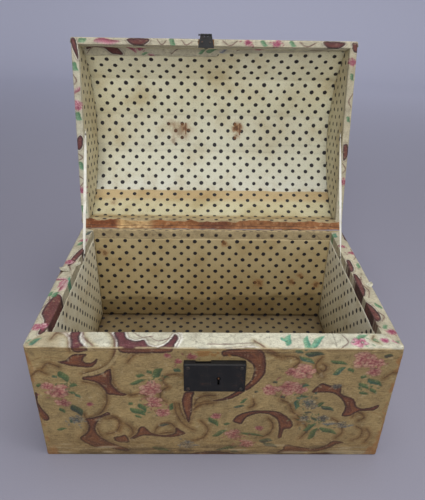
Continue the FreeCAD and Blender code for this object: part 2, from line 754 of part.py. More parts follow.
def hinge_strip():
    clear = "(knuckle_radius + 2 * knuckle_gap)"
    foot = f"({AXIS_Y} - {clear} * {STRIP_FOOT_SHARE})"
    over, up = STRIP_BEND_SHARES

    def bend(radius):
        return f"({AXIS_Y} - {radius} * {over})", f"({AXIS_Z} + {radius} * {up})"

    def lid_side(radius, depth):
        """A point at a distance from the axis, and at a depth in front of the plane of the lid's rim."""
        return (f"({AXIS_Y} - {radius} * cos(opening_angle) - {depth} * sin(opening_angle))",
                f"({AXIS_Z} + {radius} * sin(opening_angle) - {depth} * cos(opening_angle))")

    under = [(f"({foot} - strip_lap)", "body_height"), (foot, "body_height"), bend(clear),
             lid_side(clear, "0"), lid_side(f"({clear} + strip_lap)", "0")]
    over_side = [lid_side(f"({clear} + strip_lap)", "strip_thickness"), lid_side(clear, "strip_thickness"),
                 bend(f"({clear} + strip_thickness)"), (foot, "(body_height + strip_thickness)"),
                 (f"({foot} - strip_lap)", "(body_height + strip_thickness)")]
    node(slab("hinge_strip", "YZ_Plane", spread("(body_width / 2 - strip_inset)"), under + over_side))


# Box lock on the front. Its cover is folded sheet, open at the back, with a slot in its top for the hasp.

LOCK_TOP = "(body_height - lock_drop)"
LOCK_BOTTOM = f"({LOCK_TOP} - lock_height)"
LOCK_FRONT = "(0 - body_depth / 2 - lock_depth)"
LOCK_INSIDE = f"({LOCK_FRONT} + lock_sheet)"
LOCK_BACK = "(0 - body_depth / 2 - lock_back)"
KEY_HEIGHT = f"({LOCK_BOTTOM} + lock_height / 2)"
TONGUE_BACK = "(0 - body_depth / 2 - tongue_gap)"
TONGUE_FRONT = f"({TONGUE_BACK} - hasp_thickness)"
TONGUE_EDGE = "(hasp_offset + hasp_width / 2)"
BOLT_TOP = f"({LOCK_TOP} - lock_sheet - bolt_play)"
BOLT_BOTTOM = f"({BOLT_TOP} - bolt_height)"
BOLT_TIP = f"({TONGUE_EDGE} + bolt_play)"
BOLT_HEEL = f"({BOLT_TIP} + bolt_length)"
LEG_LEFT = f"({BOLT_TIP} + bolt_travel + bolt_play)"
LEG_RIGHT = f"({LEG_LEFT} + bolt_leg_width)"
LEG_BOTTOM = f"({BOLT_BOTTOM} - bolt_leg_length)"
SLOT_HALF = "(guide_radius + bolt_play)"
GUIDE_Z = f"({BOLT_TOP} - bolt_height / 2)"
GUIDE_X = f"({BOLT_HEEL} - bolt_travel - 3 * {SLOT_HALF})"


def lock_nail_places():
    x = "(lock_width / 2 - lock_nail_inset)"
    return [(side, height) for side in spread(x)
            for height in (f"({LOCK_BOTTOM} + lock_nail_inset)", f"({LOCK_TOP} - lock_nail_inset)")]


def lock():
    half = "(lock_width / 2)"
    hole_radius = "(small_nail_radius + hole_clearance)"
    face = rectangle(spread(half), (LOCK_BOTTOM, LOCK_TOP))
    cover = slab("lock_cover", "XZ_Plane", (LOCK_FRONT, OUT_FRONT), face)
    sides, levels = [("x", x) for x in spread(half)], [("z", LOCK_BOTTOM), ("z", LOCK_TOP)]
    soften(cover, "lock_corner", *[[("y", LOCK_FRONT), plane] for plane in sides + levels],
           *[[side, level] for side in sides for level in levels])
    inner_half = f"({half} - lock_sheet)"
    room = (f"({LOCK_BOTTOM} + lock_sheet)", f"({LOCK_TOP} - lock_sheet)")
    carve(cover, "XZ_Plane", (LOCK_INSIDE, f"({OUT_FRONT} + overrun)"), rectangle(spread(inner_half), room))
    slot_half = "(hasp_width / 2 + 2 * hole_clearance)"
    carve(cover, "XY_Plane", (f"({LOCK_TOP} - 2 * lock_sheet)", f"({LOCK_TOP} + overrun)"),
          rectangle((f"(hasp_offset - {slot_half})", f"(hasp_offset + {slot_half})"),
                    (f"({TONGUE_FRONT} - tongue_gap)", f"({OUT_FRONT} + overrun)")))
    through = (f"({LOCK_FRONT} - overrun)", f"({LOCK_FRONT} + 2 * lock_sheet)")
    carve(cover, "XZ_Plane", through, holes=[(x, z, hole_radius) for x, z in lock_nail_places()])
    carve(cover, "XZ_Plane", through, holes=[("key_offset", KEY_HEIGHT, "keyhole_radius")])
    carve(cover, "XZ_Plane", through,
          rectangle(("(key_offset - keyhole_slot / 2)", "(key_offset + keyhole_slot / 2)"),
                    (f"({KEY_HEIGHT} - keyhole_length)", KEY_HEIGHT)))
    node(cover)
    plate = rectangle(spread(f"({inner_half} - hole_clearance)"),
                      (f"({room[0]} + hole_clearance)", f"({room[1]} - hole_clearance)"))
    node(slab("lock_backplate", "XZ_Plane", (LOCK_BACK, OUT_FRONT), plate,
              holes=[(x, z, hole_radius) for x, z in lock_nail_places()]))
    nails = [nail(f"lock_nail_{index}", "y", 1, x, f"({LOCK_FRONT} - small_head_height)", z, LOCK_NAIL)
             for index, (x, z) in enumerate(lock_nail_places())]
    node(group("lock_nails", nails))
    lock_works(inner_half)


TALON_SAG_SHARE = 1.05


def lock_works(inner_half):
    bolt_span = (f"({TONGUE_BACK} - bolt_thickness)", TONGUE_BACK)
    leg_rise = "(bolt_leg_width / 2 - talon_radius)"
    corners = [(BOLT_TIP, BOLT_BOTTOM), (LEG_LEFT, BOLT_BOTTOM), (LEG_LEFT, LEG_BOTTOM),
               (f"({LEG_LEFT} + {leg_rise})", LEG_BOTTOM), (f"({LEG_RIGHT} - {leg_rise})", LEG_BOTTOM),
               (LEG_RIGHT, LEG_BOTTOM), (LEG_RIGHT, BOLT_BOTTOM), (BOLT_HEEL, BOLT_BOTTOM),
               (BOLT_HEEL, BOLT_TOP), (BOLT_TIP, BOLT_TOP)]
    bolt = slab("lock_bolt", "XZ_Plane", bolt_span, corners, {3: f"(0 - talon_radius * {TALON_SAG_SHARE})"})
    slot_left = f"({GUIDE_X} - {SLOT_HALF})"
    slot_right = f"({GUIDE_X} + bolt_travel + {SLOT_HALF})"
    carve(bolt, "XZ_Plane", (f"({bolt_span[0]} - overrun)", OUT_FRONT),
          rectangle((slot_left, slot_right), (f"({GUIDE_Z} - {SLOT_HALF})", f"({GUIDE_Z} + {SLOT_HALF})")))
    node(bolt)
    depth = f"({LOCK_BACK} - {LOCK_INSIDE})"
    guide = rod("bolt_guide_post", "y", "guide_radius", GUIDE_X, LOCK_INSIDE, GUIDE_Z, depth)
    rest_left = f"({LEG_RIGHT} + bolt_travel / 2)"
    rest_top = f"({BOLT_BOTTOM} - bolt_play)"
    rest = box("bolt_guide_rest", (rest_left, f"({rest_left} + 2 * guide_radius)"), (LOCK_INSIDE, LOCK_BACK),
               (f"({rest_top} - 2 * guide_radius)", rest_top))
    node(group("lock_bolt_guides", [guide, rest]))
    pin_length = f"({LOCK_BACK} - {LOCK_FRONT})"
    node(rod("lock_key_pin", "y", "key_pin_radius", "key_offset", LOCK_FRONT, KEY_HEIGHT, pin_length))
    low = f"({rest_top} - spring_drop)"
    spring_tip = f"({BOLT_HEEL} - bolt_travel)"
    sweep = f"({inner_half} - {spring_tip})"
    radius = f"(({sweep} ^ 2 + spring_drop ^ 2) / (2 * spring_drop))"
    spring_back = f"({LOCK_BACK} - hole_clearance)"
    node(slab("lock_spring", "XZ_Plane", (f"({spring_back} - spring_width)", spring_back),
              [(spring_tip, f"({rest_top} - spring_thickness)"), (inner_half, f"({low} - spring_thickness)"),
               (inner_half, low), (spring_tip, rest_top)], {0: f"(0 - {radius})", 2: radius}))


# Hasp: a plate under the lid's rim, with a spike inside and two knuckles in front, and a cranked tongue that
# drops into the lock. The pin stands midway between the tongue's places, so the tongue folds back flat on the
# front rail, where it lies at rest. The tongue is drawn hanging, from the pin's axis.

HASP_LEFT = "(hasp_offset - hasp_width / 2)"
HASP_RIGHT = "(hasp_offset + hasp_width / 2)"
NECK_LEFT = f"({HASP_LEFT} + hasp_width / 3)"
NECK_RIGHT = f"({HASP_RIGHT} - hasp_width / 3)"
TONGUE_PLANE = "(0 - body_depth - knuckle_radius - knuckle_gap - tongue_gap)"
HASP_AXIS_Y = f"(({LID_FRONT} + {TONGUE_PLANE} - hasp_thickness - hasp_rest_gap) / 2)"
HASP_AXIS_Z = f"({LID_RIM} + hasp_thickness / 2)"
CRANK = f"({HASP_AXIS_Y} - {TONGUE_PLANE})"
HASP_BORE = "(hasp_pin_radius + pin_clearance)"
HASP_SWUNG_Y = f"({AXIS_Y} + {HASP_AXIS_Y} * cos(opening_angle) + {HASP_AXIS_Z} * sin(opening_angle))"
HASP_SWUNG_Z = f"({AXIS_Z} - {HASP_AXIS_Y} * sin(opening_angle) + {HASP_AXIS_Z} * cos(opening_angle))"


def hasp():
    bridge_top = f"({LID_RIM} + hasp_thickness)"
    inner = f"({LID_FRONT} + rail_thickness + 2 * paper)"
    bay = f"({HASP_AXIS_Y} + {CRANK} + hasp_thickness + hole_clearance)"
    body = slab("hasp", "XY_Plane", (LID_RIM, bridge_top), [
        (HASP_LEFT, HASP_AXIS_Y), (NECK_LEFT, HASP_AXIS_Y), (NECK_LEFT, bay), (NECK_RIGHT, bay),
        (NECK_RIGHT, HASP_AXIS_Y), (HASP_RIGHT, HASP_AXIS_Y),
        ("(hasp_offset + hasp_inner_width / 2)", f"({inner} + hasp_thickness)"),
        ("(hasp_offset - hasp_inner_width / 2)", f"({inner} + hasp_thickness)")])
    spike_left, spike_right = "(hasp_offset - tail_width / 2)", "(hasp_offset + tail_width / 2)"
    spike_waist = f"({LID_RIM} + tail_length / 2)"
    slab("hasp", "XZ_Plane", (inner, f"({inner} + hasp_thickness)"), [
        (spike_left, bridge_top), (spike_right, bridge_top), (spike_right, spike_waist),
        ("hasp_offset", f"({LID_RIM} + tail_length)"), (spike_left, spike_waist)], body=body)
    for span in ((HASP_LEFT, NECK_LEFT), (NECK_RIGHT, HASP_RIGHT)):
        slab("hasp", "YZ_Plane", span, [], holes=[(HASP_AXIS_Y, HASP_AXIS_Z, "hasp_knuckle_radius")], body=body)
    through = (f"({HASP_LEFT} - overrun)", f"({HASP_RIGHT} + overrun)")
    carve(body, "YZ_Plane", through, holes=[(HASP_AXIS_Y, HASP_AXIS_Z, HASP_BORE)])
    places = ["(hasp_offset - hasp_inner_width / 4)", "(hasp_offset + hasp_inner_width / 4)"]
    middle = f"({LID_FRONT} + paper + rail_thickness / 2)"
    carve(body, "XY_Plane", (f"({LID_RIM} - overrun)", f"({bridge_top} + overrun)"),
          holes=[(x, middle, LEAF_HOLE) for x in places])
    node(on_lid(body))
    face = f"({LID_RIM} - rim_gap / 3)"
    nails = [nail(f"hasp_nail_{index}", "z", 1, x, middle, face, HASP_NAIL) for index, x in enumerate(places)]
    node(on_lid(group("hasp_nails", nails)))
    start = f"({HASP_LEFT} - hasp_pin_reach)"
    node(on_lid(fuse("hasp_pin", [
        rod("hasp_pin_shank", "x", "hasp_pin_radius", start, HASP_AXIS_Y, HASP_AXIS_Z, f"({HASP_RIGHT} - {start})"),
        rod("hasp_pin_head", "x", "hasp_pin_head_radius", start, HASP_AXIS_Y, HASP_AXIS_Z,
            "hasp_pin_head_height")])))


def hasp_tongue():
    neck = (f"({NECK_LEFT} + knuckle_side_gap)", f"({NECK_RIGHT} - knuckle_side_gap)")
    face_span = (f"(0 - {CRANK} - hasp_thickness)", f"(0 - {CRANK})")
    tip = f"({LID_RIM} - tongue_length - {HASP_AXIS_Z})"
    shoulder = "(0 - hasp_knuckle_radius - knuckle_gap)"
    notch_low = f"({BOLT_BOTTOM} - {AXIS_Z} - bolt_play - {HASP_AXIS_Z})"
    notch_high = f"({notch_low} + notch_height)"
    bay = f"({HASP_RIGHT} - notch_depth - 2 * bolt_play)"
    body = slab("hasp_tongue", "XZ_Plane", face_span, [
        (f"({HASP_LEFT} + tongue_taper)", tip), (f"({HASP_RIGHT} - tongue_taper)", tip),
        (HASP_RIGHT, f"({tip} + tongue_taper)"), (HASP_RIGHT, notch_low), (bay, notch_low), (bay, notch_high),
        (HASP_RIGHT, notch_high), (HASP_RIGHT, shoulder), (neck[1], shoulder), (neck[1], "(hasp_thickness / 2)"),
        (neck[0], "(hasp_thickness / 2)"), (neck[0], shoulder), (HASP_LEFT, shoulder),
        (HASP_LEFT, f"({tip} + tongue_taper)")])
    slab("hasp_tongue", "XY_Plane", spread("(hasp_thickness / 2)"), rectangle(neck, (face_span[0], "0")), body=body)
    slab("hasp_tongue", "YZ_Plane", neck, [], holes=[("0", "0", "hasp_knuckle_radius")], body=body)
    carve(body, "YZ_Plane", (f"({HASP_LEFT} - overrun)", f"({HASP_RIGHT} + overrun)"), holes=[("0", "0", HASP_BORE)])
    folded = f"rotation(vector(1; 0; 0); 0 - opening_angle - {2 * RIGHT_ANGLE})"
    body.setExpression("Placement", bound(f"placement(vector(0; {HASP_SWUNG_Y}; {HASP_SWUNG_Z}); {folded})"))
    node(body)
    print(f"hasp axis y {number(HASP_SWUNG_Y):.4f} z {number(HASP_SWUNG_Z):.4f}")


# Tape stays. A tape lies against the inside of the body's end, runs straight to the inside of the lid's end
# and lies against that; a tack holds each end. It is drawn upright at its lower tack, leaning along the run.

STAY_X = f"({ROOM_X} - paper)"
STAY_LID_X = f"({LID_ROOM_X} - paper - tape_gap)"
STAY_LOW_Y = "(body_depth / 2 - stay_body_reach)"
STAY_LOW_Z = "(body_height - stay_body_drop)"
LID_TACK_Y = f"({LID_BACK} - stay_lid_reach)"
LID_TACK_Z = f"({LID_RIM} + stay_lid_rise)"
STAY_HIGH_Y = f"({AXIS_Y} + {LID_TACK_Y} * cos(opening_angle) + {LID_TACK_Z} * sin(opening_angle))"
STAY_HIGH_Z = f"({AXIS_Z} - {LID_TACK_Y} * sin(opening_angle) + {LID_TACK_Z} * cos(opening_angle))"
STAY_RUN = f"sqrt(({STAY_HIGH_Y} - {STAY_LOW_Y}) ^ 2 + ({STAY_HIGH_Z} - {STAY_LOW_Z}) ^ 2)"
STAY_LEAN = f"atan(({STAY_HIGH_Y} - {STAY_LOW_Y}) / ({STAY_HIGH_Z} - {STAY_LOW_Z}))"
STAY_TO_RIM = f"(stay_body_drop / cos({STAY_LEAN}) + tape_width)"
STAY_TO_LID = f"({STAY_RUN} - 3 * stay_lid_rise)"


def stays():
    tack_hole = "(tack_radius + hole_clearance)"
    body_tacks, lid_tacks = [], []
    for name, way in (("left", -1), ("right", 1)):
        def across(depth):
            return f"({way} * {depth})"
        inner_low, inner_high = f"({STAY_X} - tape_thickness)", f"({STAY_LID_X} - tape_thickness)"
        right_hand = [(across(STAY_X), "(0 - tape_tail)"), (across(STAY_X), STAY_TO_RIM),
                      (across(STAY_LID_X), STAY_TO_LID), (across(STAY_LID_X), f"({STAY_RUN} + tape_tail)")]
        left_hand = [(across(inner_high), f"({STAY_RUN} + tape_tail)"), (across(inner_high), STAY_TO_LID),
                     (across(inner_low), STAY_TO_RIM), (across(inner_low), "(0 - tape_tail)")]
        corners = right_hand + left_hand
        if way < 0:
            corners.reverse()
        tape = slab(name + "_stay_tape", "XZ_Plane", spread("(tape_width / 2)"), corners)
        reach = spread(OUT_X)
        carve(tape, "YZ_Plane", reach, holes=[("0", "0", tack_hole), ("0", STAY_RUN, tack_hole)])
        tape.setExpression("Placement", bound(
            f"placement(vector(0; {STAY_LOW_Y}; {STAY_LOW_Z}); rotation(vector(1; 0; 0); -1 * {STAY_LEAN}))"))
        node(tape)
        head_low = across(f"({inner_low} - tack_head_height)")
        head_high = across(f"({inner_high} - tape_gap - tack_head_height)")
        body_tacks.append(nail(name + "_body_tack", "x", way, head_low, STAY_LOW_Y, STAY_LOW_Z, TACK))
        lid_tacks.append(nail(name + "_lid_tack", "x", way, head_high, LID_TACK_Y, LID_TACK_Z, TACK))
    node(group("stay_body_tacks", body_tacks))
    node(on_lid(group("stay_lid_tacks", lid_tacks)))


# Bail handle on the crown: two cotters clinched through the middle stave, a rosette under each, and a wire
# bail whose ends turn in the cotters' eyes. It hangs straight down from the open lid. The cotters and
# rosettes are drawn from the dome's centre, upright, and leaned forwards to their place.

EYE_LEAN = f"asin(eye_offset / ({DOME_RADIUS} + paper))"
HUB_Y = f"({AXIS_Y} + {LID_MIDDLE} * cos(opening_angle) + {DOME_CENTRE} * sin(opening_angle))"
HUB_Z = f"({AXIS_Z} - {LID_MIDDLE} * sin(opening_angle) + {DOME_CENTRE} * cos(opening_angle))"
CROWN = f"({DOME_RADIUS} + paper)"
CROWN_INSIDE = f"({STAVE_RADIUS} * cos({DOME_ANGLE} / {STAVES}) - lining)"
EYE_HEIGHT = f"({CROWN} + rosette_thickness + eye_inner_radius + 2 * eye_wire_radius)"
EYE_SWING = f"({EYE_LEAN} - opening_angle * 1 deg)"


def on_dome(item):
    item.setExpression("Placement", bound(
        f"placement(vector(0; {HUB_Y}; {HUB_Z}); rotation(vector(1; 0; 0); {EYE_SWING}))"))
    return item


def handle():
    cotters, rosettes = [], []
    inner_end = f"({CROWN_INSIDE} - clinch_thickness)"
    shank_length = f"({EYE_HEIGHT} - eye_inner_radius - eye_wire_radius - {inner_end})"
    for name, x in (("left", "(0 - eye_spacing / 2)"), ("right", "(eye_spacing / 2)")):
        ring = doc.addObject("Part::Torus", name + "_eye")
        ring.setExpression("Radius1", bound("eye_inner_radius + eye_wire_radius"))
        ring.setExpression("Radius2", bound("eye_wire_radius"))
        ring.Placement = FreeCAD.Placement(FreeCAD.Vector(), TURNS["x"])
        place_at(ring, x, "0", EYE_HEIGHT)
        shank = rod(name + "_cotter_shank", "z", "shank_radius", x, "0", inner_end, shank_length)
        clinch = box(name + "_clinch", (f"({x} - clinch_width / 2)", f"({x} + clinch_width / 2)"),
                     spread("clinch_length"), (inner_end, CROWN_INSIDE))
        cotters.append(fuse(name + "_cotter", [ring, shank, clinch]))
        disc = rod(name + "_disc", "z", "rosette_radius", x, "0", CROWN, "rosette_thickness")
        bore = rod(name + "_disc_bore", "z", "(shank_radius + hole_clearance)", x, "0",
                   f"({CROWN} - overrun)", "(2 * overrun)")
        rosettes.append(cut(name + "_rosette", disc, bore))
    node(on_dome(group("handle_cotters", cotters)))
    node(on_dome(group("handle_rosettes", rosettes)))


def bail():
    """A wire swept along a U with rounded corners, its two ends turned outwards on the pivot axis."""
    arm = number("eye_spacing / 2 - bail_reach")
    end = number("eye_spacing / 2 + bail_reach")
    drop = number("bail_drop")
    corner = number("bail_corner")
    radius = number("bail_wire_radius")
    bend = number("bail_bend")

    def point(x, z):
        return FreeCAD.Vector(x, 0, z)

    def quarter(start, centre, finish):
        middle = centre + ((start - centre) + (finish - centre)).normalize() * (start - centre).Length
        return Part.Arc(start, middle, finish).toShape()

    half = [point(-end, 0), point(-arm - bend, 0), point(-arm, -bend), point(-arm, corner - drop),
            point(corner - arm, -drop)]
    across = [point(-place.x, place.z) for place in reversed(half)]
    edges = [
        Part.LineSegment(half[0], half[1]).toShape(),
        quarter(half[1], point(-arm - bend, -bend), half[2]),
        Part.LineSegment(half[2], half[3]).toShape(),
        quarter(half[3], point(corner - arm, corner - drop), half[4]),
        Part.LineSegment(half[4], across[0]).toShape(),
        quarter(across[0], point(arm - corner, corner - drop), across[1]),
        Part.LineSegment(across[1], across[2]).toShape(),
        quarter(across[2], point(arm + bend, -bend), across[3]),
        Part.LineSegment(across[3], across[4]).toShape(),
    ]
    section = Part.Wire(Part.makeCircle(radius, half[0], FreeCAD.Vector(1, 0, 0)))
    wire = doc.addObject("Part::Feature", "lid_handle")
    wire.Shape = Part.Wire(edges).makePipeShell([section], True, False)
    axis_y = f"({HUB_Y} - {EYE_HEIGHT} * sin({EYE_SWING}))"
    axis_z = f"({HUB_Z} + {EYE_HEIGHT} * cos({EYE_SWING}))"
    node(place_at(wire, "0", axis_y, axis_z))
    print(f"bail axis y {number(axis_y):.4f} z {number(axis_z):.4f}")


body_boards()
body_papers()
body_linings()
body_nails()
lid_boards()
lid_papers()
lid_linings()
lid_nails()
hinges()
hinge_strip()
lock()
hasp()
hasp_tongue()
stays()
handle()
bail()
doc.removeObject(gauge.Name)
doc.recompute()

for item in doc.Objects:
    if "Invalid" in item.State or "Error" in item.State:
        raise RuntimeError(f"{item.Label} failed: {item.State}")
for item in nodes:
    if item.Shape.isNull() or not item.Shape.isValid():
        raise RuntimeError(item.Label + " has no valid shape")

os.makedirs("parts", exist_ok=True)
for item in nodes:
    item.Shape.exportStep(f"parts/{item.Label}.step")
print(len(nodes), "sub-parts")
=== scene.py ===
# %% [markdown]
# # A papered dome-top trunk
# The trunk is a box of boards with printed wallpaper pasted over the outside and polka-dot paper inside.
# The boards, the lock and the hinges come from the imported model. Blender adds what makes the object old and
# soft: wrinkled sheets of paper, cotton tape, worn iron, and the light.

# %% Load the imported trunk
import json
import math

import bmesh
import bpy
import numpy as np
from mathutils import Matrix, Vector


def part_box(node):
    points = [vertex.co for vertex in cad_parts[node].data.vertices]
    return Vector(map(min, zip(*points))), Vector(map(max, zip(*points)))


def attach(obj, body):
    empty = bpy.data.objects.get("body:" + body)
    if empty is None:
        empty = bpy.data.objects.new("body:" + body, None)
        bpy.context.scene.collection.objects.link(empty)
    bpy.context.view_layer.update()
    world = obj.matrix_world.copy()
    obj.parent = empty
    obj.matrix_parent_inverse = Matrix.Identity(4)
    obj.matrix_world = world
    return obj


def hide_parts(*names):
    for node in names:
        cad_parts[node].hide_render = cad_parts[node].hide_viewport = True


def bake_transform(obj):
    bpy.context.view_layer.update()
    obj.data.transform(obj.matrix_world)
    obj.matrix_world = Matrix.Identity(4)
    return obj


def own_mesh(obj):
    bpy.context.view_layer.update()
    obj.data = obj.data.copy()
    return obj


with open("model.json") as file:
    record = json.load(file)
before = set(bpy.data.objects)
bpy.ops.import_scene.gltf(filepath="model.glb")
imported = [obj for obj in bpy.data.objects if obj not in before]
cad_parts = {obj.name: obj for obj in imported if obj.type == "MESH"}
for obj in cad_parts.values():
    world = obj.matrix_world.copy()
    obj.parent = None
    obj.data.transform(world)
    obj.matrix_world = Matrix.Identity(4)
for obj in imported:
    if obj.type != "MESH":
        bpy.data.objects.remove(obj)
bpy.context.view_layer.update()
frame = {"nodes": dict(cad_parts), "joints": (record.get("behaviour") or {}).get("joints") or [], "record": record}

# %% [markdown]
# ## Sizes
# The body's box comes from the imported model. The boards' thicknesses and the lid's section are the same
# driving sizes that the maker of the boards used, in metres here. The lid is thought of closed, in a frame
# on its hinge, because its section is simple there; one turn about the hinge then opens it.

# %% Sizes in metres
MM = 0.001
PAPER = 0.6 * MM
LINING = 0.5 * MM
FRONT_BOARD = 20 * MM
END_BOARD = 17 * MM
BACK_BOARD = 8 * MM
FLOOR_BOARD = 12 * MM
WORN_EDGE = 3.6 * MM
RIM_OUTSIDE_LAP = 7 * MM
RIM_INSIDE_LAP = 13 * MM
LID_SETBACK = 6 * MM
LID_HEIGHT = 100 * MM
LID_RAIL = 29 * MM
LID_RAIL_BOARD = 8 * MM
LID_END_BOARD = 9 * MM
LID_WORN_EDGE = 2.1 * MM
LID_OUTSIDE_LAP = 3 * MM
LID_INSIDE_LAP = 8 * MM
STAVES = 5

rim_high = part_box("rim_paper")[1]
HALF_X, HALF_Y, BODY_TOP = rim_high.x, rim_high.y, rim_high.z
lid_joint = next(joint for joint in frame["joints"] if joint["name"] == "lid_hinge")
HINGE = np.array(lid_joint["pos_m"])
OPEN = math.radians(max(lid_joint["range_deg"]))
LID_DEPTH = 2 * HALF_Y - LID_SETBACK
LID_BACK = HALF_Y - HINGE[1]
LID_MIDDLE = LID_BACK - LID_DEPTH / 2
LID_RIM = BODY_TOP - HINGE[2] + 2 * PAPER
LID_FACE = LID_RIM - PAPER


def opened(x, y, z):
    """Points of the closed lid's frame, turned open about the hinge."""
    cos, sin = math.cos(OPEN), math.sin(OPEN)
    return np.stack([x, HINGE[1] + y * cos + z * sin, HINGE[2] - y * sin + z * cos], -1)


print(f"body {2 * HALF_X:.3f} x {2 * HALF_Y:.3f} x {BODY_TOP:.3f} m")
print(f"lid open {math.degrees(OPEN):.0f} degrees")

# %% [markdown]
# ## The dome's section
# Five flat-backed staves make the dome, so it is a part of a circle outside and five flats inside. The
# circle runs through both rails' tops and the crown, which gives its radius.

# %% The dome's section
DOME_HALF = LID_DEPTH / 2 - PAPER
DOME_RISE = LID_HEIGHT - PAPER - LID_RAIL
DOME_RADIUS = (DOME_HALF ** 2 + DOME_RISE ** 2) / (2 * DOME_RISE)
DOME_CENTRE = LID_FACE + LID_HEIGHT - PAPER - DOME_RADIUS
DOME_ANGLE = math.asin(DOME_HALF / DOME_RADIUS)
ROOM_HALF = LID_DEPTH / 2 - PAPER - LID_RAIL_BOARD
FLAT_RADIUS = ROOM_HALF * DOME_RADIUS / DOME_HALF * math.cos(DOME_ANGLE / STAVES)
LID_ROOM_X = HALF_X - PAPER - LID_END_BOARD
print(f"dome radius {DOME_RADIUS:.4f} m, half angle {math.degrees(DOME_ANGLE):.1f} degrees")

# %% [markdown]
# ## Camera
# The photograph looks down at the open trunk from the front. Its lens and place were worked out from eight
# corners of the trunk, so the render and the photograph can be laid over each other.

# %% Camera
def put(name, data):
    """A new object in the scene."""
    made = bpy.data.objects.new(name, data)
    bpy.context.scene.collection.objects.link(made)
    return made


PICTURE = (425, 500)
FOCAL_PIXELS = 476.3
SENSOR = 36.0
CAMERA_PLACE = Vector((-0.0116, -0.4930, 0.4741))
LOOK_DOWN = math.radians(29.24)
LOOK_RIGHT = math.radians(1.13)
ROLL = math.radians(1.05)

forward = Vector((math.sin(LOOK_RIGHT) * math.cos(LOOK_DOWN), math.cos(LOOK_RIGHT) * math.cos(LOOK_DOWN),
                  -math.sin(LOOK_DOWN)))
level = Vector((math.cos(LOOK_RIGHT), -math.sin(LOOK_RIGHT), 0))
upright = level.cross(forward)
side = level * math.cos(ROLL) + upright * math.sin(ROLL)
top = upright * math.cos(ROLL) - level * math.sin(ROLL)
lens = bpy.data.cameras.new("camera")
lens.sensor_width = SENSOR
lens.lens = FOCAL_PIXELS * SENSOR / max(PICTURE)
lens.clip_start = 0.01
camera = put("camera", lens)
camera.matrix_world = Matrix.Translation(CAMERA_PLACE) @ Matrix((side, top, -forward)).transposed().to_4x4()
bpy.context.scene.camera = camera
print(f"lens {lens.lens:.1f} mm")

# %% [markdown]
# ## A short way to write materials
# A material is a graph of nodes, but reads better as a formula. `Value` wraps one socket and turns Python's
# operators into Math nodes; `Finish` holds one material and adds any other node by its type.

# %% Values
class Value:
    """One number in a material's graph."""

    def __init__(self, finish, socket):
        self.finish, self.socket = finish, socket

    def step(self, low, high):
        """0 below low, 1 above high, and a smooth ramp between; high may be the smaller."""
        return self.finish.node("MapRange", {"interpolation_type": "SMOOTHSTEP"},
                                {"Value": self, "From Min": low, "From Max": high})


def teach(word, operation, backwards=False):
    """Gives Value a method that adds one Math node."""
    def method(self, *others):
        terms = (*others, self) if backwards else (self, *others)
        return self.finish.node("Math", {"operation": operation}, dict(enumerate(terms)))
    setattr(Value, word, method)


OPERATIONS = {"__add__": "ADD", "__radd__": "ADD", "__mul__": "MULTIPLY", "__rmul__": "MULTIPLY",
              "__sub__": "SUBTRACT", "__abs__": "ABSOLUTE", "fraction": "FRACT", "floor": "FLOOR",
              "most": "MAXIMUM", "root": "SQRT", "sine": "SINE"}
for word, operation in OPERATIONS.items():
    teach(word, operation)
teach("__rsub__", "SUBTRACT", backwards=True)
print(len(OPERATIONS) + 1, "operations")


# %% Finishes
class Graph:
    """A tree of nodes."""

    def add(self, kind, settings, inputs):
        made = self.tree.nodes.new(kind)
        for word, setting in (settings or {}).items():
            setattr(made, word, setting)
        for place, term in (inputs or {}).items():
            self.feed(made.inputs[place], term)
        return made

    def feed(self, socket, term):
        term = getattr(term, "socket", term)
        if isinstance(term, bpy.types.NodeSocket):
            self.tree.links.new(term, socket)
        elif socket.type == "RGBA" and len(term) == 3:
            socket.default_value = (*term, 1)
        else:
            socket.default_value = term


class Finish(Graph):
    """One material. Its value `here` is where a point is on the whole trunk, in metres."""

    def __init__(self, name):
        self.material = bpy.data.materials.new(name)
        self.material.use_nodes = True
        self.tree = self.material.node_tree
        self.shader = self.tree.nodes["Principled BSDF"]
        self.here = self.node("TexCoord", output="Object")

    def node(self, kind, settings=None, inputs=None, output=0):
        return Value(self, self.add("ShaderNode" + kind, settings, inputs).outputs[output])

    def parts(self, vector):
        split = self.node("SeparateXYZ", inputs={0: vector})
        return [Value(self, socket) for socket in split.socket.node.outputs]

    def noise(self, scale, detail=3.0, roughness=0.5, distortion=0.0, at=None):
        return self.node("TexNoise", inputs={"Vector": at or self.here, "Scale": scale, "Detail": detail,
                                             "Roughness": roughness, "Distortion": distortion})

    def stretched(self, *scale):
        return self.node("Mapping", inputs={"Vector": self.here, "Scale": scale})

    def printed(self):
        """The colour kept on each point of a sheet."""
        return self.node("VertexColor", {"layer_name": "ink"})

    def mix(self, factor, first, second, blend="MIX"):
        made = self.tree.nodes.new("ShaderNodeMix")
        made.data_type, made.blend_type = "RGBA", blend
        for socket, term in ((made.inputs[0], factor), (made.inputs[6], first), (made.inputs[7], second)):
            self.feed(socket, term)
        return Value(self, made.outputs[2])

    def done(self, colour, relief, distance, strength, **sockets):
        """Sets the colour, a bump of the relief, and any other sockets by name."""
        bump = self.node("Bump", inputs={"Height": relief, "Distance": distance, "Strength": strength})
        return self.set(base_color=colour, normal=bump, **sockets)

    def set(self, **sockets):
        for word, term in sockets.items():
            self.feed(self.shader.inputs[word.replace("_", " ").title()], term)
        return self.material


def tint(*colour):
    """A colour read off a screen, 0 to 255, as the light it stands for."""
    return tuple(((c / 255 + 0.055) / 1.055) ** 2.4 if c > 10 else c / 255 / 12.92 for c in colour)


print("helpers ready")
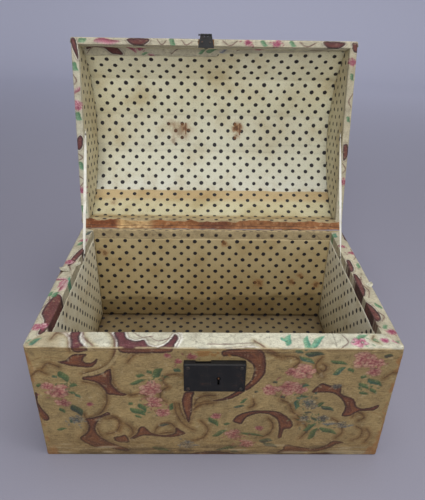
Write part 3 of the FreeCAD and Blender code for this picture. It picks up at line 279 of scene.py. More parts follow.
# %% [markdown]
# ## The room
# The photograph was taken on a plain grey-lilac paper sweep. One curved sheet makes floor and backdrop, so
# no edge shows behind the trunk. The sheet grows paler towards the wall, and part of that is a glow that
# only the camera and reflections see, so it puts no light on the trunk. The light is soft and mostly from
# above the camera, as in a small studio: the lid's inside is bright, and the trunk's floor stays in shade.

# %% Floor, backdrop and lamps
FLOOR_COLOUR = tint(149, 147, 160)
WALL_COLOUR = tint(196, 197, 214)
WALL_GLOW = (0.106, 0.109, 0.14)
SWEEP_HALF = 6.0
SWEEP_BACK = 2.2
SWEEP_RADIUS = 1.0


def sweep_profile():
    """Floor, a quarter circle and a wall, as (y, z) pairs."""
    turn = np.linspace(0, math.pi / 2, 24)
    curve = [(SWEEP_BACK + SWEEP_RADIUS * math.sin(a), SWEEP_RADIUS * (1 - math.cos(a))) for a in turn]
    return [(-SWEEP_HALF, 0.0), *curve, (SWEEP_BACK + SWEEP_RADIUS, SWEEP_HALF)]


def sweep_finish():
    finish = Finish("sweep_paper")
    x, y, _ = finish.parts(finish.here)
    far = y.step(0.25, 3.0)
    fibre = finish.noise(900.0, 2.0).step(0.3, 0.7)
    colour = finish.mix(far, FLOOR_COLOUR, WALL_COLOUR)
    colour = finish.mix(fibre * 0.05, colour, (0.0, 0.0, 0.0))
    seen = finish.node("LightPath", output="Is Camera Ray")
    for ray in ("Is Glossy Ray", "Is Transmission Ray"):
        seen = seen.most(finish.node("LightPath", output=ray))
    glow = far * seen * (x.step(-1.2, 1.3) * 0.8 + 0.75)
    glow = finish.mix(glow, (0.0, 0.0, 0.0), WALL_GLOW)
    return finish.set(base_color=colour, roughness=0.9, emission_color=glow, emission_strength=1.0)


def sweep():
    profile = sweep_profile()
    mesh = bpy.data.meshes.new("sweep")
    points = [(x, y, z) for y, z in profile for x in (-SWEEP_HALF, SWEEP_HALF)]
    faces = [(2 * i, 2 * i + 1, 2 * i + 3, 2 * i + 2) for i in range(len(profile) - 1)]
    mesh.from_pydata(points, [], faces)
    mesh.shade_smooth()
    mesh.materials.append(sweep_finish())
    put("sweep", mesh)


def lamp(name, place, aim, size, power):
    light = bpy.data.lights.new(name, "AREA")
    light.shape = "DISK"
    light.size = size
    light.energy = power
    holder = put(name, light)
    holder.location = place
    holder.rotation_euler = (Vector(aim) - Vector(place)).to_track_quat("-Z", "Y").to_euler()


sweep()
lamp("overhead", (0.2, -0.1, 1.9), (0, 0.05, 0.1), 1.3, 13.6)
lamp("window_side", (1.7, -0.7, 1.2), (0, 0.05, 0.15), 1.0, 7.7)
lamp("above_camera", (-0.3, -1.9, 1.5), (0, 0.1, 0.2), 1.2, 22.0)
lamp("low_fill", (0.1, -2.2, 0.6), (0, 0.1, 0.2), 1.2, 4.3)
world = bpy.data.worlds.new("studio")
world.use_nodes = True
sky = world.node_tree.nodes["Background"].inputs
sky["Color"].default_value = (*tint(226, 228, 238), 1)
sky["Strength"].default_value = 0.38
bpy.context.scene.world = world
bpy.context.scene.view_settings.view_transform = "Standard"
print("room ready")

# %% [markdown]
# ## Smooth chance
# Old paper is uneven everywhere: stains, ripples, ragged edges. One function gives smooth random hills of a
# chosen size from a small table of random numbers with a fixed seed, so every run makes the same paper.

# %% Hills of chance
TABLE = 64


def hills(u, v, size, seed, layers=3):
    """Smooth random numbers between about -1 and 1, with hills of that size in the same unit as u and v."""
    total, weight = 0.0, 1.0
    for layer in range(layers):
        table = np.random.default_rng(seed * 31 + layer).uniform(-1, 1, (TABLE, TABLE))
        a, b = np.asarray(u) / size * 2 ** layer, np.asarray(v) / size * 2 ** layer
        i, j = np.floor(a).astype(int), np.floor(b).astype(int)
        s, t = a - i, b - j
        s, t = s * s * (3 - 2 * s), t * t * (3 - 2 * t)
        low = table[i % TABLE, j % TABLE] * (1 - s) + table[(i + 1) % TABLE, j % TABLE] * s
        high = table[i % TABLE, (j + 1) % TABLE] * (1 - s) + table[(i + 1) % TABLE, (j + 1) % TABLE] * s
        total = total + weight * (low * (1 - t) + high * t)
        weight /= 2
    return total


def ramp(value, low, high):
    """0 below low, 1 above high, smooth between; high may be the smaller."""
    share = np.clip((value - low) / (high - low), 0, 1)
    return share * share * (3 - 2 * share)


print("hills from", f"{hills(np.arange(50.0), 0.0, 7.0, 1).min():.2f}")

# %% [markdown]
# ## The printed wallpaper
# Wallpaper of this sort is block-printed: maroon scrolls edged with a pale halo and a fine brown line, and
# sprays of roses with green leaves, on a cream ground. Where hands and light reached it, it has gone brown;
# under the closed lid it kept its colours. So every ink has two colours, kept and browned, and each point
# of a sheet has its own age between them. The motifs are small functions that colour the points inside a
# shape, and they measure distances the short way round the repeat.

# %% Inks, kept and browned
INKS = {  # the red, green and blue of each ink as it was kept, then as it has browned
    "ground": (214, 211, 188, 156, 133, 88),
    "halo": (240, 238, 226, 172, 150, 104),
    "maroon": (96, 40, 50, 92, 48, 36),
    "dark": (50, 28, 36, 52, 28, 24),
    "chestnut": (108, 52, 58, 130, 80, 48),
    "outline": (120, 92, 70, 84, 56, 32),
    "shade": (186, 174, 136, 122, 90, 48),
    "pink": (206, 120, 150, 172, 104, 96),
    "petal": (230, 196, 198, 194, 156, 130),
    "deep": (158, 40, 92, 132, 52, 66),
    "green": (72, 140, 96, 44, 84, 52),
    "pale_green": (136, 184, 146, 92, 112, 66),
    "teal": (70, 160, 132, 34, 88, 76),
    "dark_teal": (44, 88, 80, 28, 58, 54),
    "blue": (126, 136, 160, 92, 106, 110),
    "navy": (58, 58, 84, 52, 52, 56),
}
INKS = {ink: (tint(*tones[:3]), tint(*tones[3:])) for ink, tones in INKS.items()}
REPEAT = (404.0, 222.0)


def bent(points, closed, steps=7):
    """A smooth curve (Catmull-Rom) through points given as u, v, u, v and so on."""
    points = np.reshape(points, (-1, 2)).astype(float)
    if closed:
        ring = np.vstack([points[-1:], points, points[:2]])
    else:
        ring = np.vstack([2 * points[:1] - points[1:2], points, 2 * points[-1:] - points[-2:-1]])
    out = []
    for a, b, c, d in zip(ring, ring[1:], ring[2:], ring[3:]):
        for t in np.arange(steps) / steps:
            out.append(0.5 * (2 * b + (c - a) * t + (2 * a - 5 * b + 4 * c - d) * t ** 2
                              + (3 * b - a - 3 * c + d) * t ** 3))
    if not closed:
        out.append(points[-1])
    return np.array(out)


def to_segments(u, v, curve, closed):
    """Distance to a curve, and how far along it the nearest point is, 0 to 1."""
    ends = np.vstack([curve[1:], curve[:1]]) if closed else curve[1:]
    starts = curve if closed else curve[:-1]
    best, along = np.full(u.shape, np.inf), np.zeros(u.shape)
    for k, (start, end) in enumerate(zip(starts, ends)):
        run = end - start
        t = np.clip(((u - start[0]) * run[0] + (v - start[1]) * run[1]) / max(run @ run, 1e-9), 0, 1)
        d = np.hypot(u - start[0] - t * run[0], v - start[1] - t * run[1])
        nearer = d < best
        best[nearer] = d[nearer]
        along[nearer] = (k + t[nearer]) / len(starts)
    return best, along


def inside(u, v, curve):
    """Which points lie inside a closed curve."""
    odd = np.zeros(u.shape, bool)
    for start, end in zip(curve, np.roll(curve, -1, 0)):
        if start[1] != end[1]:
            crosses = (start[1] > v) != (end[1] > v)
            odd ^= crosses & (u < (end[0] - start[0]) * (v - start[1]) / (end[1] - start[1]) + start[0])
    return odd


print(len(INKS), "inks, repeat", REPEAT)


# %% The motifs
class Print:
    """Points of a sheet, in millimetres of the pattern, with the age and the ink of each."""

    def __init__(self, u, v, age, repeat=True):
        self.u, self.v = np.ravel(u).astype(float), np.ravel(v).astype(float)
        self.age = np.ravel(age + 0 * np.asarray(u, float))
        self.repeat = repeat
        self.colour = self.tone("ground", slice(None))

    def tone(self, ink, found):
        kept, browned = (np.array(colour) for colour in INKS[ink])
        share = self.age[found][:, None]
        return kept * (1 - share) + browned * share

    def near(self, centre, reach):
        """The points within reach of a motif, and their places measured from its centre."""
        du, dv = self.u - centre[0], self.v - centre[1]
        if self.repeat:
            du = (du + REPEAT[0] / 2) % REPEAT[0] - REPEAT[0] / 2
            dv = (dv + REPEAT[1] / 2) % REPEAT[1] - REPEAT[1] / 2
        found = np.flatnonzero((np.abs(du) < reach) & (np.abs(dv) < reach))
        return found, du[found], dv[found]

    def ink(self, found, cover, ink):
        """Lays ink over points: cover is 0 to 1, ink is a name or one colour for each point."""
        cover = np.clip(cover, 0, 1)[:, None]
        colour = self.tone(ink, found) if isinstance(ink, str) else ink
        self.colour[found] = self.colour[found] * (1 - cover) + colour * cover

    def line(self, points, width=0.9, ink="outline", strength=0.8, taper=0.3, shade=0.0):
        """A pen line through points, thinner towards its ends, with a soft brown shade beside it."""
        curve = bent(points, False)
        centre = curve.mean(0)
        found, u, v = self.near(centre, np.abs(curve - centre).max() + 7)
        wobble = 0.4 * hills(self.u[found], self.v[found], 5.0, 61, 2)
        d, along = to_segments(u, v, curve - centre, False)
        if shade:
            self.ink(found, shade * ramp(d + 1.5 * wobble, 6.0, 0.5), "shade")
        half = width / 2 * (1 - taper * np.abs(2 * along - 1) ** 2)
        self.ink(found, strength * ramp(np.abs(d + wobble * 0.5), half + 0.5, half - 0.3), ink)

    def scroll(self, points, halo=1.8):
        """A filled scroll: maroon, dark along its edge and streaked with chestnut, in a pale halo."""
        curve = bent(points, True)
        centre = curve.mean(0)
        found, u, v = self.near(centre, np.abs(curve - centre).max() + halo + 3)
        d, along = to_segments(u, v, curve - centre, True)
        d = np.where(inside(u, v, curve - centre), -d, d) + 0.35 * hills(u, v, 3.0, 8, 2)
        length = np.hypot(*np.diff(curve, axis=0).T).sum()
        streak = 0.5 + 0.6 * hills(along * length, d * 5, 9.0, 5, 2)
        kept = 1 - self.age[found]
        self.ink(found, (0.1 + 0.5 * kept) * ramp(np.abs(d - halo - 0.5), 0.9, 0.2), "outline")
        self.ink(found, (0.25 + 0.6 * kept) * ramp(d, halo + 0.3, halo - 0.6), "halo")
        self.ink(found, 0.97 * ramp(d, 0.5, -0.4), "maroon")
        self.ink(found, ramp(d, 0.5, -0.3) * ramp(d, -3.0, -0.8) * (0.55 + 0.4 * streak), "dark")
        self.ink(found, ramp(d, -1.2, -3.0) * np.clip(streak, 0, 1) * 0.85, "chestnut")

    def leaf(self, base, tip, width, ink="green"):
        """A pointed leaf with one dark side and a pale rib."""
        base, tip = np.array(base, float), np.array(tip, float)
        length = np.hypot(*(tip - base))
        axis = (tip - base) / length
        found, u, v = self.near((base + tip) / 2, length / 2 + width + 1)
        along = (u * axis[0] + v * axis[1]) / length + 0.5
        across = v * axis[0] - u * axis[1] + 0.12 * width * np.sin(along * 7)
        half = width / 2 * np.sin(math.pi * np.clip(along, 0, 1) ** 0.8) ** 0.8
        cover = ramp(np.abs(across) - half, 0.4, -0.5) * ((along > 0) & (along < 1))
        share = 0.45 if ink in ("dark_teal", "navy") else 0.85
        pale = (ramp(across / width, -0.25, 0.25) * share)[:, None]
        vein = 0.5 + 0.5 * np.sin(along * length * 2.0 + np.abs(across) * 1.8)
        light = "petal" if ink in ("deep", "pink") else "halo" if ink == "blue" else "pale_green"
        mixed = self.tone(ink, found) * (1 - pale) + self.tone(light, found) * pale
        self.ink(found, cover * 0.9, mixed * (0.72 + 0.4 * vein)[:, None])

    def rose(self, centre, size, seed, inks=("pink", "petal", "deep"), flat=0.82, deep=0.6):
        """A rose: rings of round petals, each lighter at its lip and darker where it tucks under."""
        rng = np.random.default_rng(seed)
        lean = rng.uniform(0, 6.28)
        for ring, (reach, count) in enumerate(((0.78, 8), (0.55, 7), (0.3, 5), (0.05, 3))):
            for petal in range(count):
                turn = lean + ring * 0.6 + 6.283 * petal / count + rng.normal(0, 0.25)
                radius = size * (0.34 - 0.04 * ring) * rng.uniform(0.75, 1.2)
                offset = size * reach * rng.uniform(0.75, 1.1)
                place = (centre[0] + offset * math.cos(turn), centre[1] + flat * offset * math.sin(turn))
                found, u, v = self.near(place, radius + 1)
                r = np.hypot(u, v / flat) + 0.5 * hills(self.u[found], self.v[found], 2.5, seed, 2)
                outward = (u * math.cos(turn) + v * math.sin(turn)) / radius
                light = np.clip(0.55 + 0.5 * outward + rng.normal(0, 0.2), 0, 1)[:, None]
                tone = self.tone(inks[0], found) * (1 - light) + self.tone(inks[1], found) * light
                self.ink(found, 0.85 * ramp(r, radius, radius - 1.0), tone)
                tucked = ramp(np.abs(r - radius * 0.75), 1.2, 0.2) * (outward < 0.2)
                self.ink(found, deep * tucked, inks[2])
                lip = ramp(np.abs(r - radius + 0.4), 0.7, 0.15) * (outward > 0.1)
                self.ink(found, 0.35 * lip, inks[2])

    def spray(self, centre, size, count, ink, seed):
        """Loose dabs of ink, as at the edge of a spray."""
        rng = np.random.default_rng(seed)
        for _ in range(count):
            place = (centre[0] + rng.normal(0, size / 2), centre[1] + rng.normal(0, size / 3))
            found, u, v = self.near(place, 4)
            turn = rng.uniform(0, 3.14)
            a, b = u * math.cos(turn) + v * math.sin(turn), v * math.cos(turn) - u * math.sin(turn)
            self.ink(found, 0.75 * ramp(np.hypot(a / 2.4, b), 1.1, 0.4), ink)


print("motifs ready")

# %% [markdown]
# ## The repeat
# One repeat of the paper is as wide as the trunk's front and taller than its side. The scrolls are outlines
# of a few points each, the clouds are pen lines, and flowers stand in sprays between them. Millimetres are
# counted from the middle of the trunk's bottom edge, so the front shows the repeat as it is written here;
# from 155 up it turns over the rim.

# %% Scrolls and clouds
SCROLLS = [
    [-158, 140, -150, 142, -143, 149, -134, 151, -128, 150, -131, 146, -132, 142, -128, 139, -122, 141, -118,
    145, -119, 139, -125, 133, -134, 133, -146, 135], [-135, 120, -127, 121, -116, 125, -106, 131, -106, 119,
    -106, 110, -99, 99, -92, 96, -95, 93, -104, 94, -112, 96, -115, 103, -122, 112, -135, 116], [-188, 96,
    -185, 95, -187, 85, -183, 72, -178, 61, -181, 55, -186, 58, -189, 70], [-139, 58, -132, 60, -122, 64,
    -114, 69, -112, 65, -121, 61, -128, 51, -130, 41, -126, 30, -115, 20, -97, 10, -98, 5, -118, 11, -134,
    13, -149, 26, -140, 37, -137, 48], [-93, 27, -85, 35, -82, 44, -76, 46, -68, 36, -55, 33, -43, 36, -41,
    45, -36, 41, -31, 35, -43, 30, -57, 30, -76, 32, -89, 26], [-111, 29, -103, 31, -98, 33, -94, 22, -101,
    20, -109, 22], [-30, 99, -21, 99, -23, 90, -23, 76, -25, 63, -27, 53, -31, 66, -34, 80, -33, 92], [-147,
    180, -137, 182, -136, 171, -130, 162, -126, 156, -133, 153, -141, 154, -143, 166], [-103, 182, -93, 182,
    -88, 172, -79, 168, -71, 170, -66, 162, -56, 160, -47, 166, -41, 179, -37, 173, -41, 160, -46, 153, -70,
    152, -94, 153, -97, 166], [8, 156, 24, 159, 40, 160, 49, 153, 52, 138, 51, 123, 43, 110, 30, 98, 15, 88,
    -1, 86, 11, 91, 24, 101, 36, 113, 40, 126, 38, 138, 28, 146, 17, 149, 8, 149], [21, 56, 27, 65, 40, 71,
    55, 72, 70, 70, 82, 61, 88, 51, 86, 44, 79, 42, 77, 30, 73, 29, 73, 43, 70, 57, 60, 66, 47, 67, 36, 61,
    31, 51, 26, 52], [103, 100, 112, 112, 122, 109, 133, 110, 135, 97, 149, 90, 155, 78, 166, 76, 178, 81,
    174, 73, 158, 71, 148, 64, 140, 65, 142, 76, 137, 88, 126, 98, 113, 99], [74, 4, 80, 9, 83, 17, 98, 14,
    115, 11, 128, 16, 137, 24, 149, 21, 141, 18, 132, 11, 120, 6, 106, 5, 90, 1], [96, 205, 120, 214, 150,
    210, 172, 196, 182, 200, 160, 218, 130, 226, 104, 220], [-40, 204, -20, 214, 10, 212, 34, 200, 44, 206,
    24, 224, -8, 228, -32, 220], [-190, 200, -170, 212, -150, 206, -140, 212, -160, 222, -184, 216]]
BANDS = [
    [-159, 183, -150, 178, -143, 168, -140, 158], [-137, 183, -134, 174, -129, 162, -122, 156], [-105, 183,
    -99, 172, -96, 160, -98, 150, -106, 137, -118, 128, -134, 122], [41, 147, 50, 146, 58, 147], [-36, 182,
    -34, 172, -38, 160]]
CLOUDS = [
    [-164, 170, -161, 179, -154, 179, -147, 170, -144, 155], [-134, 181, -130, 172, -119, 160], [-110, 183,
    -102, 172, -100, 157, -104, 142, -115, 132, -135, 124], [-106, 131, -106, 118, -103, 107, -96, 97, -85,
    94], [-88, 94, -78, 96, -70, 92], [-135, 113, -122, 110, -115, 103, -113, 93, -115, 80, -123, 66, -136,
    60], [-140, 66, -138, 54, -139, 41, -148, 27], [-128, 48, -122, 60, -110, 63, -101, 54, -104, 38], [-115,
    58, -107, 60, -103, 52, -107, 39, -118, 34], [-96, 51, -90, 43, -90, 33, -97, 27], [-85, 43, -83, 37,
    -88, 30], [-128, 43, -124, 29, -112, 17, -99, 11], [-66, 35, -62, 45, -55, 52, -46, 51, -41, 43], [-65,
    33, -55, 36, -46, 37, -40, 38], [-33, 122, -42, 124, -50, 121, -53, 113, -48, 106], [-48, 106, -56, 99,
    -56, 89, -50, 84], [-42, 83, -40, 66, -33, 51, -22, 41], [-37, 82, -34, 66, -26, 52], [-21, 80, -17, 90,
    -8, 94, 1, 94], [-19, 76, -13, 84, -4, 86, 3, 86], [-26, 58, -23, 71, -14, 80, 0, 83], [113, 121, 105,
    129, 103, 139, 108, 148], [109, 139, 114, 135, 112, 129, 108, 131], [70, 149, 80, 148, 86, 142, 80, 134],
    [42, 88, 43, 80, 38, 76], [71, 88, 80, 83, 85, 72], [85, 70, 93, 62, 93, 49], [39, 169, 49, 160, 58, 154,
    67, 147], [45, 157, 54, 154, 62, 149], [152, 62, 154, 69, 161, 68, 165, 61, 159, 57], [158, 48, 166, 42,
    165, 30, 157, 25], [171, 44, 176, 34, 172, 21], [163, 178, 160, 172, 165, 167], [-88, 140, -80, 150, -66,
    152], [60, 60, 66, 50, 64, 38, 56, 30], [88, 60, 100, 52, 104, 40, 98, 28], [130, 60, 140, 52, 144, 38,
    138, 28], [-14, 56, -6, 44, -10, 30, -22, 24], [-176, 130, -168, 138, -158, 134], [-188, 120, -180, 128,
    -172, 124], [176, 120, 184, 128, 190, 126], [60, 188, 78, 200, 92, 196], [-120, 196, -100, 208, -80,
    200], [130, 188, 146, 198, 164, 190]]
RIM_LINES = [
    [-164, 172, -161, 181, -153, 181, -146, 173, -142, 158], [-135, 182, -132, 172, -121, 161], [-110, 183,
    -101, 173, -98.5, 158, -101, 148], [-84, 182, -74, 174, -62, 176], [-66, 175, -56, 168, -44, 174], [-8,
    164, 14, 164, 40, 166], [126, 160, 134, 168, 130, 180], [39, 170, 49, 161, 60, 154]]
CREASES = [
    [-160, 22, -130, 18, -110, 19], [-144, 15, -112, 12, -80, 14], [-100, 22, -84, 20, -64, 22], [-80, 10,
    -40, 7, 0, 9], [0, 14, 30, 11, 60, 14], [-30, 26, 0, 22, 20, 24], [-186, 140, -172, 146, -150, 144],
    [-180, 118, -170, 112, -172, 100], [150, 36, 166, 30, 180, 34], [156, 62, 170, 70, 186, 64], [160, 12,
    172, 20, 188, 16], [140, 8, 160, 6, 184, 9]]
print(len(SCROLLS), "scrolls,", len(CLOUDS), "cloud lines")

# %% Flowers and leaves
ROSES = [
    (-163, 100, 12, 1), (-174, 107, 7, 2), (-160, 83, 8, 3), (-132, 81, 4, 4), (-66, 103, 13, 5), (-64, 84,
    10, 6), (-55, 68, 8, 7), (-48, 149, 4, 8), (-23, 148, 5, 9), (-37, 141, 4, 10), (92, 129, 13, 11), (80,
    128, 8, 12), (79, 105, 12, 13), (60, 103, 9, 14), (90, 103, 8, 15), (151, 145, 13, 16), (164, 141, 9,
    17), (164, 129, 8, 18), (22, 35, 9, 19), (38, 19, 9, 20), (3, 63, 6, 21), (51, 44, 5, 22), (146, 167, 9,
    23), (172, 171, 5, 24), (184, 170, 5, 25), (-176, 196, 12, 26), (60, 214, 13, 27), (-70, 206, 12, 28),
    (12, 196, 8, 29)]
BLUE_FLOWERS = [
    (-149, 57, 8, 51), (-30, 17, 9, 52), (104, 80, 8, 53), (120, 60, 7, 54), (142, 50, 7, 55), (128, 108, 5,
    56), (-110, 214, 9, 57), (100, 60, 6, 58)]
LEAVES = {
    "green": [
        (-158, 128, -151, 112, 9), (-150, 108, -142, 109, 5), (-185, 108, -178, 108, 5), (-151, 99, -145, 96,
        4), (-165, 75, -160, 67, 5), (-173, 41, -161, 43, 4), (-88, 110, -70, 117, 5), (-64, 120, -53, 132,
        9), (-69, 129, -64, 124, 5), (-81, 122, -71, 122, 5), (-90, 75, -73, 64, 8), (-80, 82, -73, 70, 7),
        (-91, 83, -86, 80, 5), (-47, 72, -44, 83, 5), (-63, 64, -53, 67, 4), (-85, 65, -78, 59, 4), (-69, 13,
        -48, 6, 6), (117, 143, 136, 138, 5), (137, 134, 143, 127, 5), (151, 122, 158, 121, 5), (151, 113,
        163, 104, 6), (164, 106, 172, 97, 5), (153, 100, 164, 96, 4), (100, 40, 114, 52, 6), (107, 26, 116,
        46, 7), (118, 46, 139, 35, 7), (110, 78, 119, 85, 5), (30, 37, 58, 31, 4), (11, 12, 25, 13, 5), (-1,
        31, 16, 42, 6), (11, 51, 19, 51, 4), (28, 83, 36, 90, 4), (-5, 61, 6, 47, 7), (138, 168, 157, 180,
        7), (147, 168, 152, 164, 5), (74, 200, 88, 206, 9), (-58, 198, -44, 204, 9), (-90, 200, -80, 212, 9),
        (168, 186, 176, 196, 6)],
    "teal": [
        (-157, 57, -148, 54, 8), (-42, 131, -34, 128, 5), (159, 119, 176, 109, 7), (87, 109, 100, 109, 6),
        (87, 91, 101, 93, 5), (89, 88, 89, 73, 6), (71, 162, 77, 180, 7), (90, 156, 94, 178, 7), (94, 159,
        112, 178, 7), (85, 149, 102, 139, 6), (67, 175, 74, 165, 5), (80, 157, 89, 153, 5), (-166, 122, -161,
        118, 4), (-146, 96, -140, 90, 4), (122, 124, 134, 135, 7), (-184, 162, -174, 172, 6), (44, 220, 54,
        202, 7)],
    "dark_teal": [
        (-151, 80, -142, 63, 10), (90, 152, 110, 152, 7), (52, 24, 68, 24, 7), (57, 20, 74, 13, 6), (115, 79,
        131, 72, 6), (107, 62, 114, 56, 4), (21, 77, 34, 79, 4), (20, 7, 30, 5, 4), (3, 9, 17, 10, 4)],
    "blue": [
        (-35, 17, -14, 16, 6), (95, 87, 110, 86, 6), (120, 53, 138, 52, 6), (141, 48, 157, 50, 5), (114, 62,
        120, 62, 5), (-150, 58, -144, 62, 5)],
    "navy": [
        (-60, 48, -48, 50, 4), (170, 150, 180, 150, 5), (42, 100, 47, 99, 3), (61, 115, 66, 112, 4), (71, 94,
        76, 90, 4), (98, 69, 107, 69, 3)],
}
SPRAYS = [
    (-150, 106, 16, 12, "green", 31), (-60, 118, 14, 10, "green", 32), (-78, 76, 16, 12, "green", 33), (106,
    60, 24, 22, "green", 34), (112, 46, 22, 16, "dark_teal", 35), (162, 108, 18, 12, "green", 36), (24, 12,
    22, 14, "green", 37), (96, 90, 18, 12, "teal", 38), (-66, 96, 16, 12, "deep", 39), (-166, 96, 16, 12,
    "deep", 40), (70, 104, 24, 14, "deep", 41), (156, 142, 18, 12, "deep", 42), (30, 28, 18, 12, "deep", 43),
    (-60, 76, 16, 12, "deep", 44), (-30, 146, 20, 8, "deep", 45), (-152, 54, 14, 10, "blue", 46), (-30, 16,
    20, 10, "blue", 47), (150, 168, 20, 12, "green", 48)]


def flower_print(sheet):
    """Prints the repeat on a sheet."""
    for points in CLOUDS:
        sheet.line(points, 1.6, shade=0.75)
    for points in CREASES:
        sheet.line(points, 1.3, "shade", 0.5)
    for points in BANDS:
        sheet.line(points, 3.6, "halo", 0.85)
    for points in SCROLLS:
        sheet.scroll(points)
    for points in RIM_LINES:
        sheet.line(points, 1.2, "maroon", 0.75)
    for ink, leaves in LEAVES.items():
        for u, v, tip_u, tip_v, width in leaves:
            sheet.leaf((u, v), (tip_u, tip_v), width, ink)
    for u, v, size, seed in ROSES:
        sheet.rose((u, v), size, seed)
    for u, v, size, seed in BLUE_FLOWERS:
        sheet.rose((u, v), size, seed, ("blue", "halo", "navy"))
    for u, v, size, count, ink, seed in SPRAYS:
        sheet.spray((u, v), size, count, ink, seed)


print(len(ROSES), "roses,", sum(map(len, LEAVES.values())), "leaves")

# %% [markdown]
# ## Sheets of paper
# Each sheet is a fine grid laid over its boards, pushed in and out by the wrinkles, with its edges turned
# down to the wood so that its thickness shows. The inks are stored as a colour on each point, about a
# millimetre apart, which is as fine as the photograph shows.

# %% From a grid to a sheet
PAPER_EDGE = np.array(tint(226, 214, 186))


def sheet_piece(name, points, uv, colours, heights, material, ring=False, depth=PAPER):
    """A mesh from a grid of points (rows, columns, 3). Rows run up the sheet and columns to its right, and
    the printed face looks outwards. uv is the grid's own pair of coordinates."""
    rows, columns = points.shape[:2]
    index = np.arange(rows * columns).reshape(rows, columns)
    right = np.roll(index, -1, 1) if ring else index[:, 1:]
    left = index if ring else index[:, :-1]
    quads = np.stack([left[:-1], right[:-1], right[1:], left[1:]], -1).reshape(-1, 4)
    mesh = bpy.data.meshes.new(name)
    flat = points.reshape(-1, 3)
    mesh.from_pydata(flat.tolist(), [], quads.tolist())
    normals = np.zeros(flat.size, np.float32)
    mesh.vertices.foreach_get("co", normals)
    mesh.vertex_normals.foreach_get("vector", normals)
    normals = normals.reshape(-1, 3)
    bpy.data.meshes.remove(mesh)

    face = flat + normals * np.ravel(heights)[:, None]
    if ring:
        borders = [np.append(index[0], index[0, 0])[::-1], np.append(index[-1], index[-1, 0])]
    else:
        borders = [np.concatenate([index[0, ::-1], index[1:, 0], index[-1, 1:], index[-2::-1, -1]])]
    face_uv, face_colours = np.stack(uv, -1).reshape(-1, 2), colours.reshape(-1, 3)
    all_points, all_uv, all_colours, all_quads = [face], [face_uv], [face_colours], [quads]
    count = len(face)
    for border in borders:
        loop = border[:-1]
        all_points.append(flat[loop] - normals[loop] * depth)
        all_uv.append(face_uv[loop])
        all_colours.append(face_colours[loop] * 0.7 + PAPER_EDGE * 0.3)
        low = count + np.arange(len(loop))
        all_quads.append(np.stack([loop, np.roll(loop, -1), np.roll(low, -1), low], -1))
        count += len(loop)
    mesh = bpy.data.meshes.new(name)
    mesh.from_pydata(np.vstack(all_points).tolist(), [], np.vstack(all_quads).tolist())
    mesh.validate()
    layer = mesh.uv_layers.new(name="paper")
    corners = np.zeros(len(mesh.loops), np.int32)
    mesh.loops.foreach_get("vertex_index", corners)
    layer.data.foreach_set("uv", np.vstack(all_uv)[corners].astype(np.float32).ravel())
    ink = mesh.color_attributes.new("ink", "FLOAT_COLOR", "POINT")
    colours = np.hstack([np.vstack(all_colours), np.ones((count, 1))])
    ink.data.foreach_set("color", colours.astype(np.float32).ravel())
    mesh.shade_smooth()
    mesh.materials.append(material)
    print(f"{name}: {len(mesh.polygons)} faces")
    return put(name, mesh)


def grid(u_low, u_high, v_low, v_high, step):
    """Rows of (u, v) places about a step apart."""
    u = np.linspace(u_low, u_high, max(2, round((u_high - u_low) / step) + 1))
    v = np.linspace(v_low, v_high, max(2, round((v_high - v_low) / step) + 1))
    return np.meshgrid(u, v)


def to_edge(u, v, u_low, u_high, v_low, v_high):
    """How far inside the grid's nearest border each place is."""
    return np.minimum(np.minimum(u - u_low, u_high - u), np.minimum(v - v_low, v_high - v))


def run_along(points):
    """How far along a line of points each one is."""
    return np.concatenate([[0], np.cumsum(np.hypot(*np.diff(points, axis=0).T))])


print("a sheet's edge is", [round(share, 2) for share in PAPER_EDGE])


# %% [markdown]
# ## How paper ages
# Wallpaper that was pasted down wet dries in shallow ripples, cracks where it turns a corner and darkens
# where hands and dirt reach it. The shader adds what is finer than the grid: fibres, speckle and tiny
# creases. The lining's sheets count their dots in their own coordinates, one row and one column for each
# unit, with a second set of dots between the first, so the dots stay round and even where the sheet bends.

# %% Wallpaper and lining finishes
DOT_SIZE = 0.142
DOT_INK = tint(26, 21, 28)


def wallpaper_finish():
    finish = Finish("printed_wallpaper")
    ink = finish.printed()
    cloud = finish.noise(60.0, 5.0, 0.6)
    speck = finish.noise(620.0, 3.0, 0.62)
    crease = finish.noise(130.0, 4.0, 0.6, 1.2, finish.stretched(1.0, 1.0, 5.0))
    colour = finish.mix(cloud.step(0.48, 0.75) * 0.3, ink, tint(130, 100, 62), "MULTIPLY")
    colour = finish.mix(speck.step(0.52, 0.74) * 0.34, colour, tint(110, 86, 58), "MULTIPLY")
    colour = finish.mix(speck.step(0.46, 0.28) * 0.13, colour, tint(228, 210, 176))
    fold = abs(crease - 0.5).step(0.03, 0.0)
    colour = finish.mix(fold * 0.22, colour, tint(84, 60, 38))
    relief = speck * 0.4 + cloud * 0.6 + fold * -0.5
    return finish.done(colour, relief, 0.6 * MM, 0.8, roughness=0.62 + cloud * 0.25)


def dot_mask(finish, u, v, shift):
    """Dots in the middle of each unit square, a little uneven in place and size."""
    a, b = u + (shift + 0.5), v + (shift + 0.5)
    cell = finish.node("CombineXYZ", inputs={0: a.floor(), 1: b.floor(), 2: shift + 0.5})
    chance = finish.node("TexWhiteNoise", {"noise_dimensions": "3D"}, {"Vector": cell})
    other = chance * 7.0
    x = a.fraction() - 0.5 + (other.fraction() - 0.5) * 0.05
    y = b.fraction() - 0.5 + ((other * 5.0).fraction() - 0.5) * 0.05
    distance = (x * x + y * y).root()
    return (distance - (0.9 + 0.2 * chance) * DOT_SIZE).step(0.016, -0.016)


